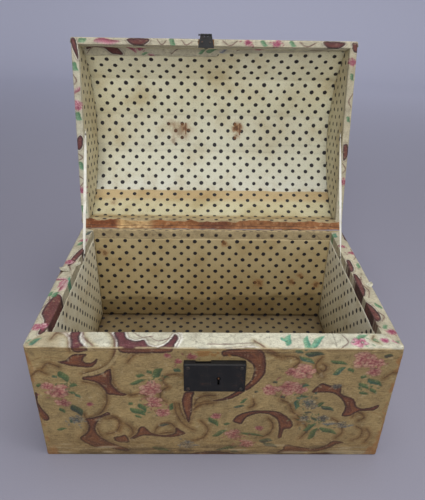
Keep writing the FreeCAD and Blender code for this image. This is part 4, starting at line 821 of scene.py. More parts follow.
def lining_finish(name, stains=()):
    """Polka-dot paper. Its ground is the colour on each point; stains are (x, y, z, radius, strength)."""
    finish = Finish(name)
    u, v, _ = finish.parts(finish.node("UVMap", {"uv_map": "paper"}))
    ragged = finish.noise(700.0, 2.0)
    u = u + (ragged - 0.5) * 0.06
    v = v + (finish.noise(640.0, 2.0) - 0.5) * 0.06
    dots = dot_mask(finish, u, v, 0.0).most(dot_mask(finish, u, v, 0.5))
    fibre = finish.noise(800.0, 3.0, 0.6)
    cloud = finish.noise(24.0, 5.0, 0.62)
    drift = finish.noise(8.0, 3.0, 0.5)
    ground = finish.printed()
    colour = finish.mix(cloud.step(0.45, 0.72) * 0.5, ground, tint(214, 198, 166), "MULTIPLY")
    colour = finish.mix(drift.step(0.45, 0.7) * 0.4, colour, tint(220, 204, 172), "MULTIPLY")
    colour = finish.mix(fibre.step(0.48, 0.8) * 0.5, colour, tint(150, 128, 92), "MULTIPLY")
    wear = fibre.step(0.22, 0.42) * 0.3 + 0.7
    colour = finish.mix(dots * wear, colour, DOT_INK)
    for x, y, z, radius, strength in stains:
        reach = finish.node("VectorMath", {"operation": "DISTANCE"}, {0: finish.here, 1: (x, y, z)}, "Value")
        edge = reach + (finish.noise(110.0, 4.0, 0.7) - 0.5) * radius * 1.9
        colour = finish.mix(edge.step(radius, radius * 0.3) * strength, colour, tint(150, 98, 50))
        colour = finish.mix(edge.step(radius * 0.42, radius * 0.2) * strength, colour, tint(88, 52, 28))
    relief = cloud * 0.7 + fibre * 0.25 + dots * 0.1
    return finish.done(colour, relief, 0.6 * MM, 0.6, roughness=0.6 + 0.25 * cloud)


PRINTED = wallpaper_finish()
print("finishes:", PRINTED.name)

# %% [markdown]
# ## Round the body
# One strip of wallpaper goes round the front, turns both corners and stops on the ends; another does the
# same at the back, and a plain sheet covers each end between them. All four are cut from one walk round the
# body, so the print runs on from sheet to sheet.

# %% A walk round a box with worn corners
def walk(distance, half_x, half_y, radius):
    """Places on a rounded rectangle. The walk starts at the middle of the front and goes to the right."""
    arc = radius * math.pi / 2
    legs = [(half_x - radius, (0, -half_y), (1, 0)), (arc, None, None),
            (2 * (half_y - radius), (half_x, radius - half_y), (0, 1)), (arc, None, None),
            (2 * (half_x - radius), (half_x - radius, half_y), (-1, 0)), (arc, None, None),
            (2 * (half_y - radius), (-half_x, half_y - radius), (0, -1)), (arc, None, None),
            (half_x - radius, (radius - half_x, -half_y), (1, 0))]
    pivots = [(half_x - radius, radius - half_y), (half_x - radius, half_y - radius),
              (radius - half_x, half_y - radius), (radius - half_x, radius - half_y)]
    around = sum(leg[0] for leg in legs)
    left = np.asarray(distance) % around
    x, y = np.zeros_like(left), np.zeros_like(left)
    covered = 0.0
    for number, (length, start, way) in enumerate(legs):
        here = (left >= covered) & (left <= covered + length)
        t = left[here] - covered
        if start:
            x[here], y[here] = start[0] + way[0] * t, start[1] + way[1] * t
        else:
            corner = number // 2
            angle = -math.pi / 2 + corner * math.pi / 2 + t / radius
            x[here] = pivots[corner][0] + radius * np.cos(angle)
            y[here] = pivots[corner][1] + radius * np.sin(angle)
        covered += length
    return x, y, around


CORNER_RETURN = 12 * MM
HEM = 0.5 * MM
TURN = WORN_EDGE * math.pi / 2
FRONT_REACH = HALF_X - WORN_EDGE + TURN + CORNER_RETURN - WORN_EDGE
END_REACH = HALF_Y - CORNER_RETURN
END_START = FRONT_REACH
BACK_START = END_START + 2 * END_REACH
SIDE_STEPS = {"front": 0.9 * MM, "end": 1.25 * MM, "back": 1.3 * MM}
BARE = np.array(tint(150, 104, 58))
DIRT = np.array(tint(64, 46, 32))
STAIN = np.array(tint(146, 100, 48))
WORN = np.array(tint(206, 188, 148))


def ripples(u, v, seed):
    """How far the pasted sheet stands up, in metres, at places in metres."""
    soft = 0.22 * hills(u, v, 0.045, seed) + 0.12 * hills(u, v * 3.0, 0.02, seed + 1)
    crease = np.exp(-(hills(u, v * 4.0, 0.05, seed + 2) / 0.035) ** 2)
    return np.maximum(soft + 0.16 * crease, -0.2) * MM


def veil(colours, cover, colour):
    """Lays one colour over printed points."""
    cover = np.clip(np.ravel(cover), 0, 1)[:, None]
    colours[:] = colours * (1 - cover) + np.asarray(colour) * cover


def mottle(colours, u, v, seed, amount=1.0):
    """Uneven browning at two scales, and small rubbed and dirty flecks."""
    uneven = 0.11 * hills(u, v, 0.045, seed) + 0.12 * hills(u, v, 0.006, seed + 1, 2)
    colours *= 1 + amount * np.ravel(uneven)[:, None]
    fleck = hills(u, v, 0.0035, seed + 2, 2)
    veil(colours, 0.42 * amount * ramp(fleck, 0.6, 1.2), DIRT)
    veil(colours, 0.3 * amount * ramp(-fleck, 0.7, 1.2), WORN)


def age_body(colours, u, v):
    """Wear of the body's sides: a crease below the rim, a dirty foot with creases, torn corners, and a stain
    where the paper has come away above the lock."""
    mottle(colours, u, v, 41)
    ragged = hills(u, v, 0.012, 47) * 5 * MM
    veil(colours, 0.35 * ramp(v, 60 * MM, 0.0), INKS["shade"][1])
    veil(colours, 0.55 * ramp(v + ragged, 9 * MM, 0.0), DIRT)
    streak = hills(u, v * 7, 0.03, 55, 2) * ramp(v, 34 * MM, 8 * MM)
    veil(colours, 0.5 * ramp(streak, 0.2, 0.8), DIRT)
    veil(colours, 0.4 * ramp(-streak, 0.2, 0.8), WORN)
    for height, seed in ((154.6, 51), (3.6, 52), (7.4, 53), (11.5, 54)):
        line = np.abs(v - height * MM - 1.2 * MM * hills(u, 0.0, 0.03, seed))
        veil(colours, (0.55 if height > 100 else 0.3) * ramp(line, 1.0 * MM, 0.2 * MM), DIRT)
    to_corner = np.abs(np.abs(u) - HALF_X + WORN_EDGE / 2)
    worn = ramp(to_corner + 0.6 * ragged, 5 * MM, 1.5 * MM) * ramp(hills(u, v, 0.012, 53), -0.3, 0.3)
    veil(colours, 0.8 * worn, BARE)
    foot_corner = ramp(np.hypot(np.abs(u) - HALF_X, v * 1.2) + 1.4 * ragged, 17 * MM, 10 * MM)
    veil(colours, 0.7 * foot_corner * (np.abs(u) < HALF_X + 0.02), BARE)
    torn = np.hypot((u + 2 * MM) / 12, (v - 151 * MM) / 4) / MM + hills(u, v, 0.005, 57)
    veil(colours, 0.75 * ramp(torn, 1.2, 0.7), STAIN)


def body_sheet(name, start, stop, step, seed):
    span = (start, stop, HEM, BODY_TOP - RIM_OUTSIDE_LAP)
    u, v = grid(*span, step)
    x, y, around = walk(u, HALF_X, HALF_Y, WORN_EDGE)
    points = np.stack([x, y, v], -1)
    sheet = Print(u / MM, v / MM, 1.0)
    flower_print(sheet)
    age_body(sheet.colour, (u + around / 2) % around - around / 2, v)
    heights = ripples(u, v, seed) * ramp(to_edge(u, v, *span), 0, 4 * MM)
    return sheet_piece(name, points, (u, v), sheet.colour, heights, PRINTED)


SHEETS = {
    "front_wallpaper": (-FRONT_REACH, FRONT_REACH, SIDE_STEPS["front"], "front_paper"),
    "right_end_wallpaper": (END_START, BACK_START, SIDE_STEPS["end"], "right_end_paper"),
    "back_wallpaper": (BACK_START, BACK_START + 2 * FRONT_REACH, SIDE_STEPS["back"], "back_paper"),
    "left_end_wallpaper": (-END_START - 2 * END_REACH, -END_START, SIDE_STEPS["end"], "left_end_paper"),
}


def place_piece(piece, slot, body, *nodes):
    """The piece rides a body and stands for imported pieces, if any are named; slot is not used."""
    if nodes:
        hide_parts(*nodes)
    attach(piece, body)


for seed, (name, (start, stop, step, node)) in enumerate(SHEETS.items(), start=3):
    place_piece(body_sheet(name, start, stop, step, seed), "wallpaper", "trunk_body", node)

# %% [markdown]
# ## Over the rims
# The paper that covers a rim is a ring: up the outside, over the worn edge, across the boards' tops and
# down inside. The boards differ in thickness, so each step of the section has its own inset on every side,
# and the four corners fall where the sides' insets meet.

# %% A ring of paper over a rim
def rim_section(thickness, edge, outside, inside_lap, step):
    """Steps of a rim's section, as (inset from the outer face, drop below the top)."""
    inner_edge = 1.0 * MM
    section = [(0.0, drop) for drop in np.arange(outside, edge, -step)]
    for a in np.linspace(0, math.pi / 2, max(4, round(edge * 1.57 / step) + 1)):
        section.append((edge * (1 - math.cos(a)), edge * (1 - math.sin(a))))
    across = max(3, round((thickness - edge - inner_edge) / step))
    for k in range(1, across):
        section.append((edge + (thickness - edge - inner_edge) * k / across, 0.0))
    for a in np.linspace(0, math.pi / 2, 4):
        section.append((thickness - inner_edge * (1 - math.sin(a)), inner_edge * (1 - math.cos(a))))
    section += [(thickness, drop) for drop in np.arange(inner_edge + step, inside_lap + step / 2, step)]
    return np.array(section)


def rim_ring(half_x, y_low, y_high, walls, edge, outside, inside_lap, step):
    """Points of the ring as x, y and the drop below the rim's top, and for each point its side of the ring
    (0 front, 1 right, 2 back, 3 left) and its run over the section, all in metres."""
    widest = max(walls)
    section = rim_section(widest, edge, outside, inside_lap, step)
    run = run_along(section)
    insets = []
    for wall in walls:
        share = np.clip((section[:, 0] - edge) / (widest - edge), 0, 1)
        insets.append(np.where(section[:, 0] <= edge, section[:, 0], edge + share * (wall - edge)))
    front, right, back, left = insets
    corners = [(-half_x + left, y_low + front), (half_x - right, y_low + front),
               (half_x - right, y_high - back), (-half_x + left, y_high - back)]
    corners = [np.stack(corner)[..., None] for corner in corners]
    columns, sides = [], []
    for number, length in enumerate((2 * half_x, y_high - y_low) * 2):
        steps = round(length / step)
        start, stop = corners[number], corners[(number + 1) % 4]
        columns.append(start + (stop - start) * (np.arange(steps) / steps))
        sides += [number] * steps
    x, y = np.concatenate(columns, -1)
    inset = np.repeat(section[:, :1], x.shape[1], 1)
    radius = np.maximum(edge - inset, 0.4 * MM)
    low_x, low_y = x.min(1, keepdims=True) + radius, y.min(1, keepdims=True) + radius
    high_x, high_y = x.max(1, keepdims=True) - radius, y.max(1, keepdims=True) - radius
    dx = x - np.clip(x, low_x, high_x)
    dy = y - np.clip(y, low_y, high_y)
    both = (np.abs(dx) > 0) & (np.abs(dy) > 0)
    scale = np.where(both, np.maximum(np.abs(dx), np.abs(dy)) / np.maximum(np.hypot(dx, dy), 1e-9), 1.0)
    x, y = x - dx * (1 - scale), y - dy * (1 - scale)
    drop = np.repeat(section[:, 1:], x.shape[1], 1)
    return x, y, drop, np.array(sides)[None, :] + 0 * inset, np.repeat(run[:, None], x.shape[1], 1)


# %% [markdown]
# ## The body's rim
# The front's paper carries straight on over the edge, so its print does too. The ends have strips of their
# own, cut from other places of the roll: those marks are put on one by one where the photograph shows them.
# The back is covered with a strip of the dotted lining.

# %% Printing a strip
RIM_STEP = 1.0 * MM
DOT_STEP = 20.4
WALL_DOTS = (20.3, 20.2, -4.76, 3.73)


def strip_print(sheet, marks):
    """The marks of one end's strip, each at its place on the rim in millimetres."""
    for points in marks["scrolls"]:
        sheet.scroll(points, halo=1.2)
    for points in marks["lines"]:
        sheet.line(points, 1.4, "maroon", 0.8)
    for u, v, size, seed in marks["roses"]:
        sheet.rose((u, v), size, seed)
        sheet.spray((u, v), size * 1.6, 9, "deep", seed)
    for u, v, tip_u, tip_v, width, ink in marks["leaves"]:
        sheet.leaf((u, v), (tip_u, tip_v), width, ink)


def dotted(colours, mine, u, v, dots, ground):
    """Turns points into dotted lining: u and v in millimetres, dots as for the linings."""
    colours[mine] = ground
    for shift in (0.0, 0.5):
        a = ((u - dots[2]) / dots[0] + shift + 0.5) % 1 - 0.5
        b = ((v - dots[3]) / dots[1] + shift + 0.5) % 1 - 0.5
        veil(colours, np.ravel(ramp(np.hypot(a, b) * DOT_STEP, 3.3, 2.4)) * mine, DOT_INK)


print("rim: a step of", RIM_STEP, "m")

# %% Marks on the ends' strips
LEFT_RIM = {
    "roses": [(-182, -101, 8, 61), (-184, 30, 7, 63), (-178, 88, 6, 64)],
    "leaves": [
        (-188, -128, -179, -121, 7, "teal"), (-189, -46, -185, -36, 6, "green"), (-184, -48, -178, -36, 6,
        "green"), (-184, 74, -176, 86, 6, "green"), (-172, -22, -174, -4, 5, "teal"), (-191, -8, -174, -12,
        7, "deep"), (-174, -12, -179, -38, 8, "deep"), (-178, -12, -182, -30, 6, "pink"), (-180, 104, -172,
        118, 6, "navy")],
    # The second scroll is a painted shadow under the lifted paper at the left rim, drawn in maroon ink.
    "scrolls": [
        [-179, -42, -172, -48, -169, -62, -169, -84, -173, -108, -179, -112, -179, -92, -186, -76, -184,
        -56], [-174, 70, -171, 58, -177, 30, -183, 20, -182, 44]],
    "lines": [
        [-190, -70, -184, -58, -186, -46], [-190, -6, -186, 6, -190, 16], [-176, 10, -180, 20, -177, 28]],
}
RIGHT_RIM = {
    "roses": [(184, -106, 6, 71), (187, 60, 6, 72), (178, 78, 5, 73)],
    "leaves": [
        (172, 104, 178, 118, 8, "teal"), (184, 20, 187, 34, 5, "green"), (176, -100, 183, -94, 5, "green"),
        (186, -66, 181, -54, 5, "green"), (178, -128, 186, -120, 6, "green")],
    "scrolls": [
        [173, -88, 180, -82, 177, -62, 169, -50, 170, -66], [171, -40, 178, -30, 178, 2, 173, 4], [172, 12,
        178, 20, 178, 40, 173, 38], [186, 96, 193, 98, 192, 124, 188, 120]],
    "lines": [
        [191, 98, 192, 114, 189, 126], [174, -99, 171, -92, 173, -84], [179, -88, 184, -80, 180, -72], [178,
        -44, 182, -30, 178, -16, 181, 0], [184, 42, 189, 52, 187, 70]],
}
print("marks on the left", sum(map(len, LEFT_RIM.values())), "and right", sum(map(len, RIGHT_RIM.values())))


# %% The body's rim as one sheet
def body_rim():
    walls = [FRONT_BOARD + 2 * PAPER, END_BOARD + 2 * PAPER, BACK_BOARD + 2 * PAPER, END_BOARD + 2 * PAPER]
    x, y, drop, sides, run = rim_ring(HALF_X, -HALF_Y, HALF_Y, walls, WORN_EDGE, RIM_OUTSIDE_LAP + 0.6 * MM,
                                      RIM_INSIDE_LAP, RIM_STEP)
    z = BODY_TOP - drop
    points = np.stack([x, y, z], -1)
    up = BODY_TOP - RIM_OUTSIDE_LAP + run
    along = np.where(sides % 2 == 0, x, y)
    outside = ramp(drop, WORN_EDGE * 0.85, WORN_EDGE * 1.25) * (run < RIM_OUTSIDE_LAP + WORN_EDGE)
    corner = 0.6 * ramp(x / MM + 4 * hills(x, y, 0.01, 80), -138, -160)
    age = np.clip(np.where(sides == 0, 0.03 + corner, np.where(sides == 1, 0.38, 0.3)) + outside, 0, 1)
    base = Print(np.where(sides == 0, x, along + 90 * MM + sides * 70 * MM) / MM, up / MM, age)
    flower_print(base)
    colours = base.colour
    for side, marks in ((3, LEFT_RIM), (1, RIGHT_RIM)):
        strip = Print(x / MM, y / MM, age, repeat=False)
        strip_print(strip, marks)
        mine = np.ravel(sides == side)
        colours[mine] = strip.colour[mine]
    over = (run.max() - run + BODY_TOP - RIM_INSIDE_LAP) / MM
    lined = np.ravel((sides == 2) & (run > RIM_OUTSIDE_LAP))
    dotted(colours, lined, x / MM, over, WALL_DOTS, tint(184, 164, 124))
    mottle(colours, x + z, y, 81, 0.7)
    # Painted highlight: a pale, broken line along the foot of the worn edge, where the rim turns down outside.
    lip = np.exp(-((drop - 3.3 * MM) / (0.9 * MM)) ** 2) * (run < RIM_OUTSIDE_LAP + WORN_EDGE)
    veil(colours, 0.75 * lip * ramp(hills(x, y, 0.014, 85), -0.6, 0.2), tint(232, 210, 160))
    under_lip = np.exp(-((drop - 5.2 * MM) / (0.8 * MM)) ** 2) * (run < RIM_OUTSIDE_LAP)
    veil(colours, 0.5 * under_lip * ramp(hills(x, y, 0.02, 86), -0.4, 0.4), tint(110, 80, 48))
    joint = np.exp(-((x - 121 * MM) / (0.5 * MM)) ** 2) * (sides == 0) * (drop < WORN_EDGE / 2)
    veil(colours, 0.5 * joint, DIRT)
    # Painted shadow: a dark brown patch on the left rim under the lifted flap.
    flap_shadow = np.hypot((x + 190 * MM) / 6, (y - 12 * MM) / 9) / MM + 0.5 * hills(x, y, 0.006, 88)
    veil(colours, 0.85 * ramp(flap_shadow, 1.15, 0.8) * (sides == 3), tint(74, 50, 32))
    heights = np.clip(ripples(x * 1.3 + z, y * 1.3 - z, 87) * 1.1 - 0.22 * MM, -0.5 * MM, -0.02 * MM)
    return sheet_piece("rim_wallpaper", points, (along, up), colours, heights, PRINTED, ring=True)


place_piece(body_rim(), "wallpaper", "trunk_body", "rim_paper")

# %% [markdown]
# ## The lid's papers
# The dome's sheet runs from the front rail's edge over the staves to the back rail, and folds a few
# millimetres down over each end, where a flat sheet cut to the dome's outline meets it.

# %% The dome's sheet and the lid's ends
def dome_path(run):
    """The lid's outer section: up the front rail, over the arc, down the back rail, as (y, z, turn)."""
    low = LID_FACE + LID_OUTSIDE_LAP
    radius = DOME_RADIUS + PAPER
    eave_angle = math.asin(LID_DEPTH / 2 / radius)
    eave = DOME_CENTRE + radius * math.cos(eave_angle)
    rise, arc = eave - low, 2 * eave_angle * radius
    angle = np.clip((run - rise) / radius - eave_angle, -eave_angle, eave_angle)
    y = LID_MIDDLE + radius * np.sin(angle)
    z = DOME_CENTRE + radius * np.cos(angle)
    z = np.where(run < rise, low + run, z)
    z = np.where(run > rise + arc, eave - (run - rise - arc), z)
    return y, z, angle, 2 * rise + arc


DOME_STEP = 1.3 * MM
FOLD = 1.6 * MM
END_LAP = 7 * MM


def dome_sheet():
    *_, length = dome_path(np.zeros(1))
    half = HALF_X - FOLD + FOLD * math.pi / 2 + END_LAP
    u, v = grid(-half, half, 0, length, DOME_STEP)
    y, z, angle, _ = dome_path(v)
    flat = HALF_X - FOLD
    past = np.maximum(np.abs(u) - flat, 0)
    bend = np.clip(past / FOLD, 0, math.pi / 2)
    down = FOLD * (1 - np.cos(bend)) + np.maximum(past - FOLD * math.pi / 2, 0)
    x = np.sign(u) * (np.minimum(np.abs(u), flat) + FOLD * np.sin(bend))
    points = opened(x, y - np.sin(angle) * down, z - np.cos(angle) * down)
    sheet = Print(u / MM, v / MM + 40, 0.6 + 0.2 * hills(u, v, 0.09, 90, 2))
    flower_print(sheet)
    mottle(sheet.colour, u, v, 91)
    for seam in np.arange(1, STAVES) * 2 * DOME_ANGLE / STAVES - DOME_ANGLE:
        line = np.abs(angle - seam) * DOME_RADIUS - 0.6 * MM * hills(u, 0.0, 0.02, 94)
        veil(sheet.colour, 0.3 * ramp(line, 1.6 * MM, 0.3 * MM), DIRT)
    to_rail = np.minimum(v, length - v) + 3 * MM * hills(u, v, 0.012, 96)
    veil(sheet.colour, 0.5 * ramp(to_rail, 7 * MM, 0), DIRT)
    edge = np.minimum(np.minimum(v, length - v), half - np.abs(u))
    heights = (ripples(u, v, 95) + 0.2 * MM * (past > 0)) * ramp(edge, 0, 4 * MM)
    return sheet_piece("lid_top_wallpaper", points, (u, v), sheet.colour, heights, PRINTED)


def lid_end_sheet(name, way, seed):
    """way is -1 for the left end and 1 for the right."""
    columns, rows = round(2 * DOME_HALF / DOME_STEP), round(LID_HEIGHT / DOME_STEP)
    u, share = np.meshgrid(np.linspace(-DOME_HALF, DOME_HALF, columns), np.linspace(0, 1, rows))
    low = LID_FACE + LID_OUTSIDE_LAP
    high = DOME_CENTRE + np.sqrt((DOME_RADIUS - 0.4 * MM) ** 2 - (u * 0.998) ** 2)
    z = low + (high - low) * share
    points = opened(way * (HALF_X + 0 * u), LID_MIDDLE + way * u, z)
    sheet = Print(u / MM + 60 * way, z / MM + 120, 0.55 + 0.2 * hills(u, z, 0.07, seed + 2, 2))
    flower_print(sheet)
    mottle(sheet.colour, u, z, seed)
    edge = np.minimum(share * (high - low), DOME_HALF - np.abs(u))
    heights = (ripples(u, z, seed + 1) * 0.8 - 0.15 * MM) * ramp(edge, 0, 4 * MM)
    return sheet_piece(name, points, (u, z), sheet.colour, heights, PRINTED)


place_piece(dome_sheet(), "wallpaper", "lid", "lid_top_paper")
place_piece(lid_end_sheet("lid_left_wallpaper", -1, 97), "wallpaper", "lid", "lid_left_paper")
place_piece(lid_end_sheet("lid_right_wallpaper", 1, 99), "wallpaper", "lid", "lid_right_paper")

# %% [markdown]
# ## The lid's rim
# The same ring section, upside down, on thinner boards. The paper is cut out under the hasp, whose plate
# lies in a notch of the rail. The back rail is covered with a strip of the dotted lining.

# %% The lid's rim
def cut_away(piece, gone):
    """Deletes faces whose middle, in metres, is inside a cut."""
    faces = bmesh.new()
    faces.from_mesh(piece.data)
    lost = [face for face in faces.faces if gone(face.calc_center_median())]
    bmesh.ops.delete(faces, geom=lost, context="FACES")
    faces.to_mesh(piece.data)
    faces.free()
    print(piece.name, "loses", len(lost), "faces")


def lid_rim():
    walls = [LID_RAIL_BOARD + 2 * PAPER, LID_END_BOARD + 2 * PAPER] * 2
    x, y, drop, sides, run = rim_ring(HALF_X, -LID_DEPTH / 2, LID_DEPTH / 2, walls, LID_WORN_EDGE,
                                      LID_OUTSIDE_LAP + 0.6 * MM, LID_INSIDE_LAP, RIM_STEP)
    points = opened(x, LID_MIDDLE - y, LID_FACE + drop)
    along = np.where(sides % 2 == 0, x, y)
    outside = ramp(drop, 1 * MM, 3 * MM) * (run < LID_OUTSIDE_LAP)
    age = 0.2 + 0.25 * (sides == 1) + 0.1 * (sides == 2) + 0.5 * outside
    sheet = Print(along / MM + sides * 95 + 20, run / MM + 150 + sides * 17, age)
    flower_print(sheet)
    colours = sheet.colour
    ends = Print(x / MM, -y / MM, age, repeat=False)
    for marks in (LID_LEFT_MARKS, LID_RIGHT_MARKS, LID_FRONT_MARKS):
        strip_print(ends, marks)
    side = np.ravel(sides > 0)
    colours[side] = ends.colour[side]
    lined = np.ravel((sides == 0) & (run > LID_OUTSIDE_LAP))
    dotted(colours, lined, x / MM, run / MM, WALL_DOTS, tint(184, 166, 126))
    mottle(colours, x + drop, y, 101, 0.7)
    heights = np.clip(ripples(x * 1.3 + drop, y * 1.3 - drop, 105) * 0.8 - 0.2 * MM, -0.45 * MM, -0.02 * MM)
    under = (np.abs(x - HASP_MIDDLE) < HASP_SEAT + 2 * MM) & (sides == 2)
    heights = np.where(under, -0.1 * MM, heights)
    return sheet_piece("lid_rim_wallpaper", points, (along, run), colours, heights, PRINTED, ring=True)


LID_LEFT_MARKS = {
    "roses": [(-186, -40, 8, 161), (-187, 76, 6, 163)],
    "leaves": [
        (-191, -94, -182, -84, 9, "green"), (-190, -30, -181, -20, 9, "green"), (-189, 36, -182, 48, 7,
        "green"), (-190, 98, -182, 110, 7, "green"), (-181, -64, -190, -54, 6, "deep")],
    "scrolls": [
        [-190, 6, -185, 0, -181, 4, -182, 14, -187, 20, -191, 16], [-190, -122, -184, -124, -181, -112, -181,
        -98, -185, -106]],
    "lines": [
        [-190, -80, -185, -72, -189, -66], [-190, 24, -183, 30, -189, 34], [-190, 56, -183, 62, -188, 70]],
}
LID_RIGHT_MARKS = {
    "roses": [(185, -100, 6, 171), (186, 60, 6, 172)],
    "leaves": [
        (183, -86, 188, -76, 5, "green"), (183, -30, 188, -22, 5, "green"), (183, 88, 188, 98, 5, "green")],
    "scrolls": [[182, 10, 188, 8, 190, 22, 184, 30], [182, -124, 190, -122, 190, -112, 184, -114]],
    "lines": [[189, -60, 184, -50, 188, -42], [183, 34, 188, 42, 184, 48]],
}
LID_FRONT_MARKS = {
    "roses": [(82, -121, 6, 165), (44, -122, 5, 166)],
    "leaves": [
        (-160, -121, -124, -121, 8, "deep"), (-156, -120, -132, -119, 5, "pink"), (-60, -125, -52, -117, 7,
        "green"), (60, -124, 70, -118, 6, "green"), (98, -124, 108, -118, 6, "green"), (-180, -120, -168,
        -124, 6, "green")],
    "scrolls": [
        [-116, -124, -108, -117, -94, -117, -86, -124, -100, -126], [144, -125, 150, -117, 166, -117, 172,
        -124]],
    "lines": [
        [-76, -124, -70, -118, -64, -123], [-44, -124, -38, -118, -30, -122], [10, -124, 20, -118, 30, -124],
        [112, -124, 122, -118, 134, -123]],
}
hasp_low, hasp_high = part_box("hasp")
HASP_MIDDLE = (hasp_low.x + hasp_high.x) / 2
HASP_SEAT = (hasp_high.x - hasp_low.x) / 2
CUT_DOWN, CUT_ACROSS = 0.0105, 0.012
rim_front = opened(0.0, LID_MIDDLE - LID_DEPTH / 2, LID_RIM)
piece = lid_rim()
cut_away(piece, lambda spot: abs(spot.x - HASP_MIDDLE) < HASP_SEAT and spot.z > rim_front[2] - CUT_DOWN
         and abs(spot.y - rim_front[1]) < CUT_ACROSS)
place_piece(piece, "wallpaper", "lid", "lid_rim_paper")

# %% [markdown]
# ## Linings
# The polka-dot paper is pasted flat on each inner wall. Its rows of dots start at a different place on
# every sheet, as the paper was cut. Damp has drawn brown tide marks round the nails behind the back wall,
# and the foot of the walls is darker.

# %% Linings of the body
LINING_STEP = 3 * MM
ROOM_X = HALF_X - PAPER - END_BOARD
ROOM_FRONT = -HALF_Y + PAPER + FRONT_BOARD
ROOM_BACK = HALF_Y - PAPER - BACK_BOARD
FLOOR_TOP = FLOOR_BOARD + LINING
LAP_END = BODY_TOP - RIM_INSIDE_LAP + 0.5 * MM


def lining_piece(name, place, u_span, v_span, material, seed, tone, dots, step=LINING_STEP):
    """place turns (u, v) in metres of paper into points of a wall, tone gives the ground's colour, and dots
    is the column step, the row step and one dot's place in millimetres."""
    u, v = grid(*u_span, *v_span, step)
    heights = 0.18 * MM * hills(u, v, 0.04, seed) + 0.1 * MM * hills(u, v, 0.012, seed + 1)
    edge = to_edge(u, v, *u_span, *v_span)
    heights = heights * ramp(edge, 0, 5 * MM)
    counted = (u / MM - dots[2]) / dots[0], (v / MM - dots[3]) / dots[1]
    return sheet_piece(name, place(u, v), counted, tone(u, v), heights, material, depth=LINING)


def blended(value, stops):
    """A colour that goes smoothly through stops of (value, colour)."""
    places = [stop[0] for stop in stops]
    colours = np.array([tint(*stop[1]) for stop in stops])
    return np.stack([np.interp(value, places, colours[:, k]) for k in range(3)], -1)


def wall_tone(u, v):
    height = v / MM + 7 * hills(u, v, 0.05, 7)
    tide = ramp(np.abs(height - 46 - 3 * hills(u, 0.0, 0.02, 9)), 2.4, 0.4)[..., None]
    tone = blended(height, [(14, (138, 118, 78)), (44, (150, 130, 88)), (50, (178, 158, 114)),
                            (150, (188, 170, 128))])
    return tone * (1 - 0.25 * tide)


def end_tone(u, v):
    height = v / MM + 8 * hills(u, v, 0.05, 8)
    return blended(height, [(14, (176, 162, 126)), (50, (210, 202, 172)), (110, (228, 222, 198)),
                            (150, (234, 230, 210))])


def floor_tone(u, v):
    # Darker within about 14 mm of the walls: painted shade where the floor meets them.
    edge = np.minimum(ROOM_X - np.abs(u), ROOM_BACK - v) / MM + 6 * hills(u, v, 0.04, 10)
    return blended(edge, [(0, (100, 82, 54)), (14, (132, 116, 84)), (60, (138, 124, 90))])


WALL_STAINS = [(-0.159, 125, 0.010, 0.55), (0.019, 141, 0.008, 0.7), (0.027, 157, 0.007, 0.6),
               (0.072, 74, 0.010, 0.6), (0.121, 76, 0.009, 0.55), (0.135, 88, 0.007, 0.5),
               (0.161, 73, 0.008, 0.6)]
LINED = lining_finish("dotted_lining_body", [(x, ROOM_BACK, z * MM, radius, strength)
                                             for x, z, radius, strength in WALL_STAINS])
ACROSS, DEEP, TALL = (-ROOM_X, ROOM_X), (ROOM_FRONT, ROOM_BACK), (FLOOR_TOP, LAP_END)
BODY_LININGS = [
    ("floor", (0, 0, FLOOR_TOP), (1, 0, 0), (0, 1, 0), ACROSS, DEEP, floor_tone, (20.4, 20.4, 4.32, -3.06)),
    ("back", (0, ROOM_BACK - LINING, 0), (1, 0, 0), (0, 0, 1), ACROSS, TALL, wall_tone, WALL_DOTS),
    ("front", (0, ROOM_FRONT + LINING, 0), (-1, 0, 0), (0, 0, 1), ACROSS, TALL, wall_tone,
     (20.4, 20.4, 2.0, 1.0)),
    ("left", (LINING - ROOM_X, 0, 0), (0, 1, 0), (0, 0, 1), DEEP, TALL, end_tone, (20.4, 20.4, 8.66, -0.42)),
    ("right", (ROOM_X - LINING, 0, 0), (0, -1, 0), (0, 0, 1), (-ROOM_BACK, -ROOM_FRONT), TALL, end_tone,
     (20.4, 20.4, 0.45, 0.54)),
]


def flat_wall(origin, right, up):
    """A function that places (u, v) on a wall."""
    return lambda u, v: np.array(origin) + u[..., None] * np.array(right) + v[..., None] * np.array(up)


for seed, (word, origin, right, up, u_span, v_span, tone, dots) in enumerate(BODY_LININGS, start=111):
    place = flat_wall(origin, right, up)
    piece = lining_piece(word + "_dotted_lining", place, u_span, v_span, LINED, seed, tone, dots)
    place_piece(piece, "dotted_lining", "trunk_body", word + "_lining")

# %% [markdown]
# ## The dome's lining
# Inside, the staves are flat, so the lining runs over five flats with soft creases between them. The
# section is a line of corners; the sheet walks along it. The part below the seam of the lowest stave is
# stained tan. Along the front rail a strip of the flowered paper overlaps the lining.

# %% Linings of the lid
def inner_section():
    """The lid's lined section from the front rail's foot to the back rail's, as (y, z) corners."""
    half_stave = DOME_ANGLE / STAVES
    flat, wall, lean = FLAT_RADIUS - LINING, ROOM_HALF - LINING, DOME_ANGLE - DOME_ANGLE / STAVES
    shoulder = DOME_CENTRE + (flat - wall * math.sin(lean)) / math.cos(lean)
    ridge = flat / math.cos(half_stave)
    low = LID_FACE + LID_INSIDE_LAP - 0.5 * MM
    corners = [(LID_MIDDLE - wall, low), (LID_MIDDLE - wall, shoulder)]
    for index in range(1, STAVES):
        angle = DOME_ANGLE * (2 * index / STAVES - 1)
        corners.append((LID_MIDDLE + ridge * math.sin(angle), DOME_CENTRE + ridge * math.cos(angle)))
    return np.array(corners + [(LID_MIDDLE + wall, shoulder), (LID_MIDDLE + wall, low)])


SECTION = inner_section()
SECTION_RUN = run_along(SECTION)


def dome_lining_place(u, v):
    """v runs from the back rail over the dome to the front rail."""
    from_front = SECTION_RUN[-1] - v
    y, z = (np.interp(from_front, SECTION_RUN, SECTION[:, axis]) for axis in (0, 1))
    return opened(u, y, z)


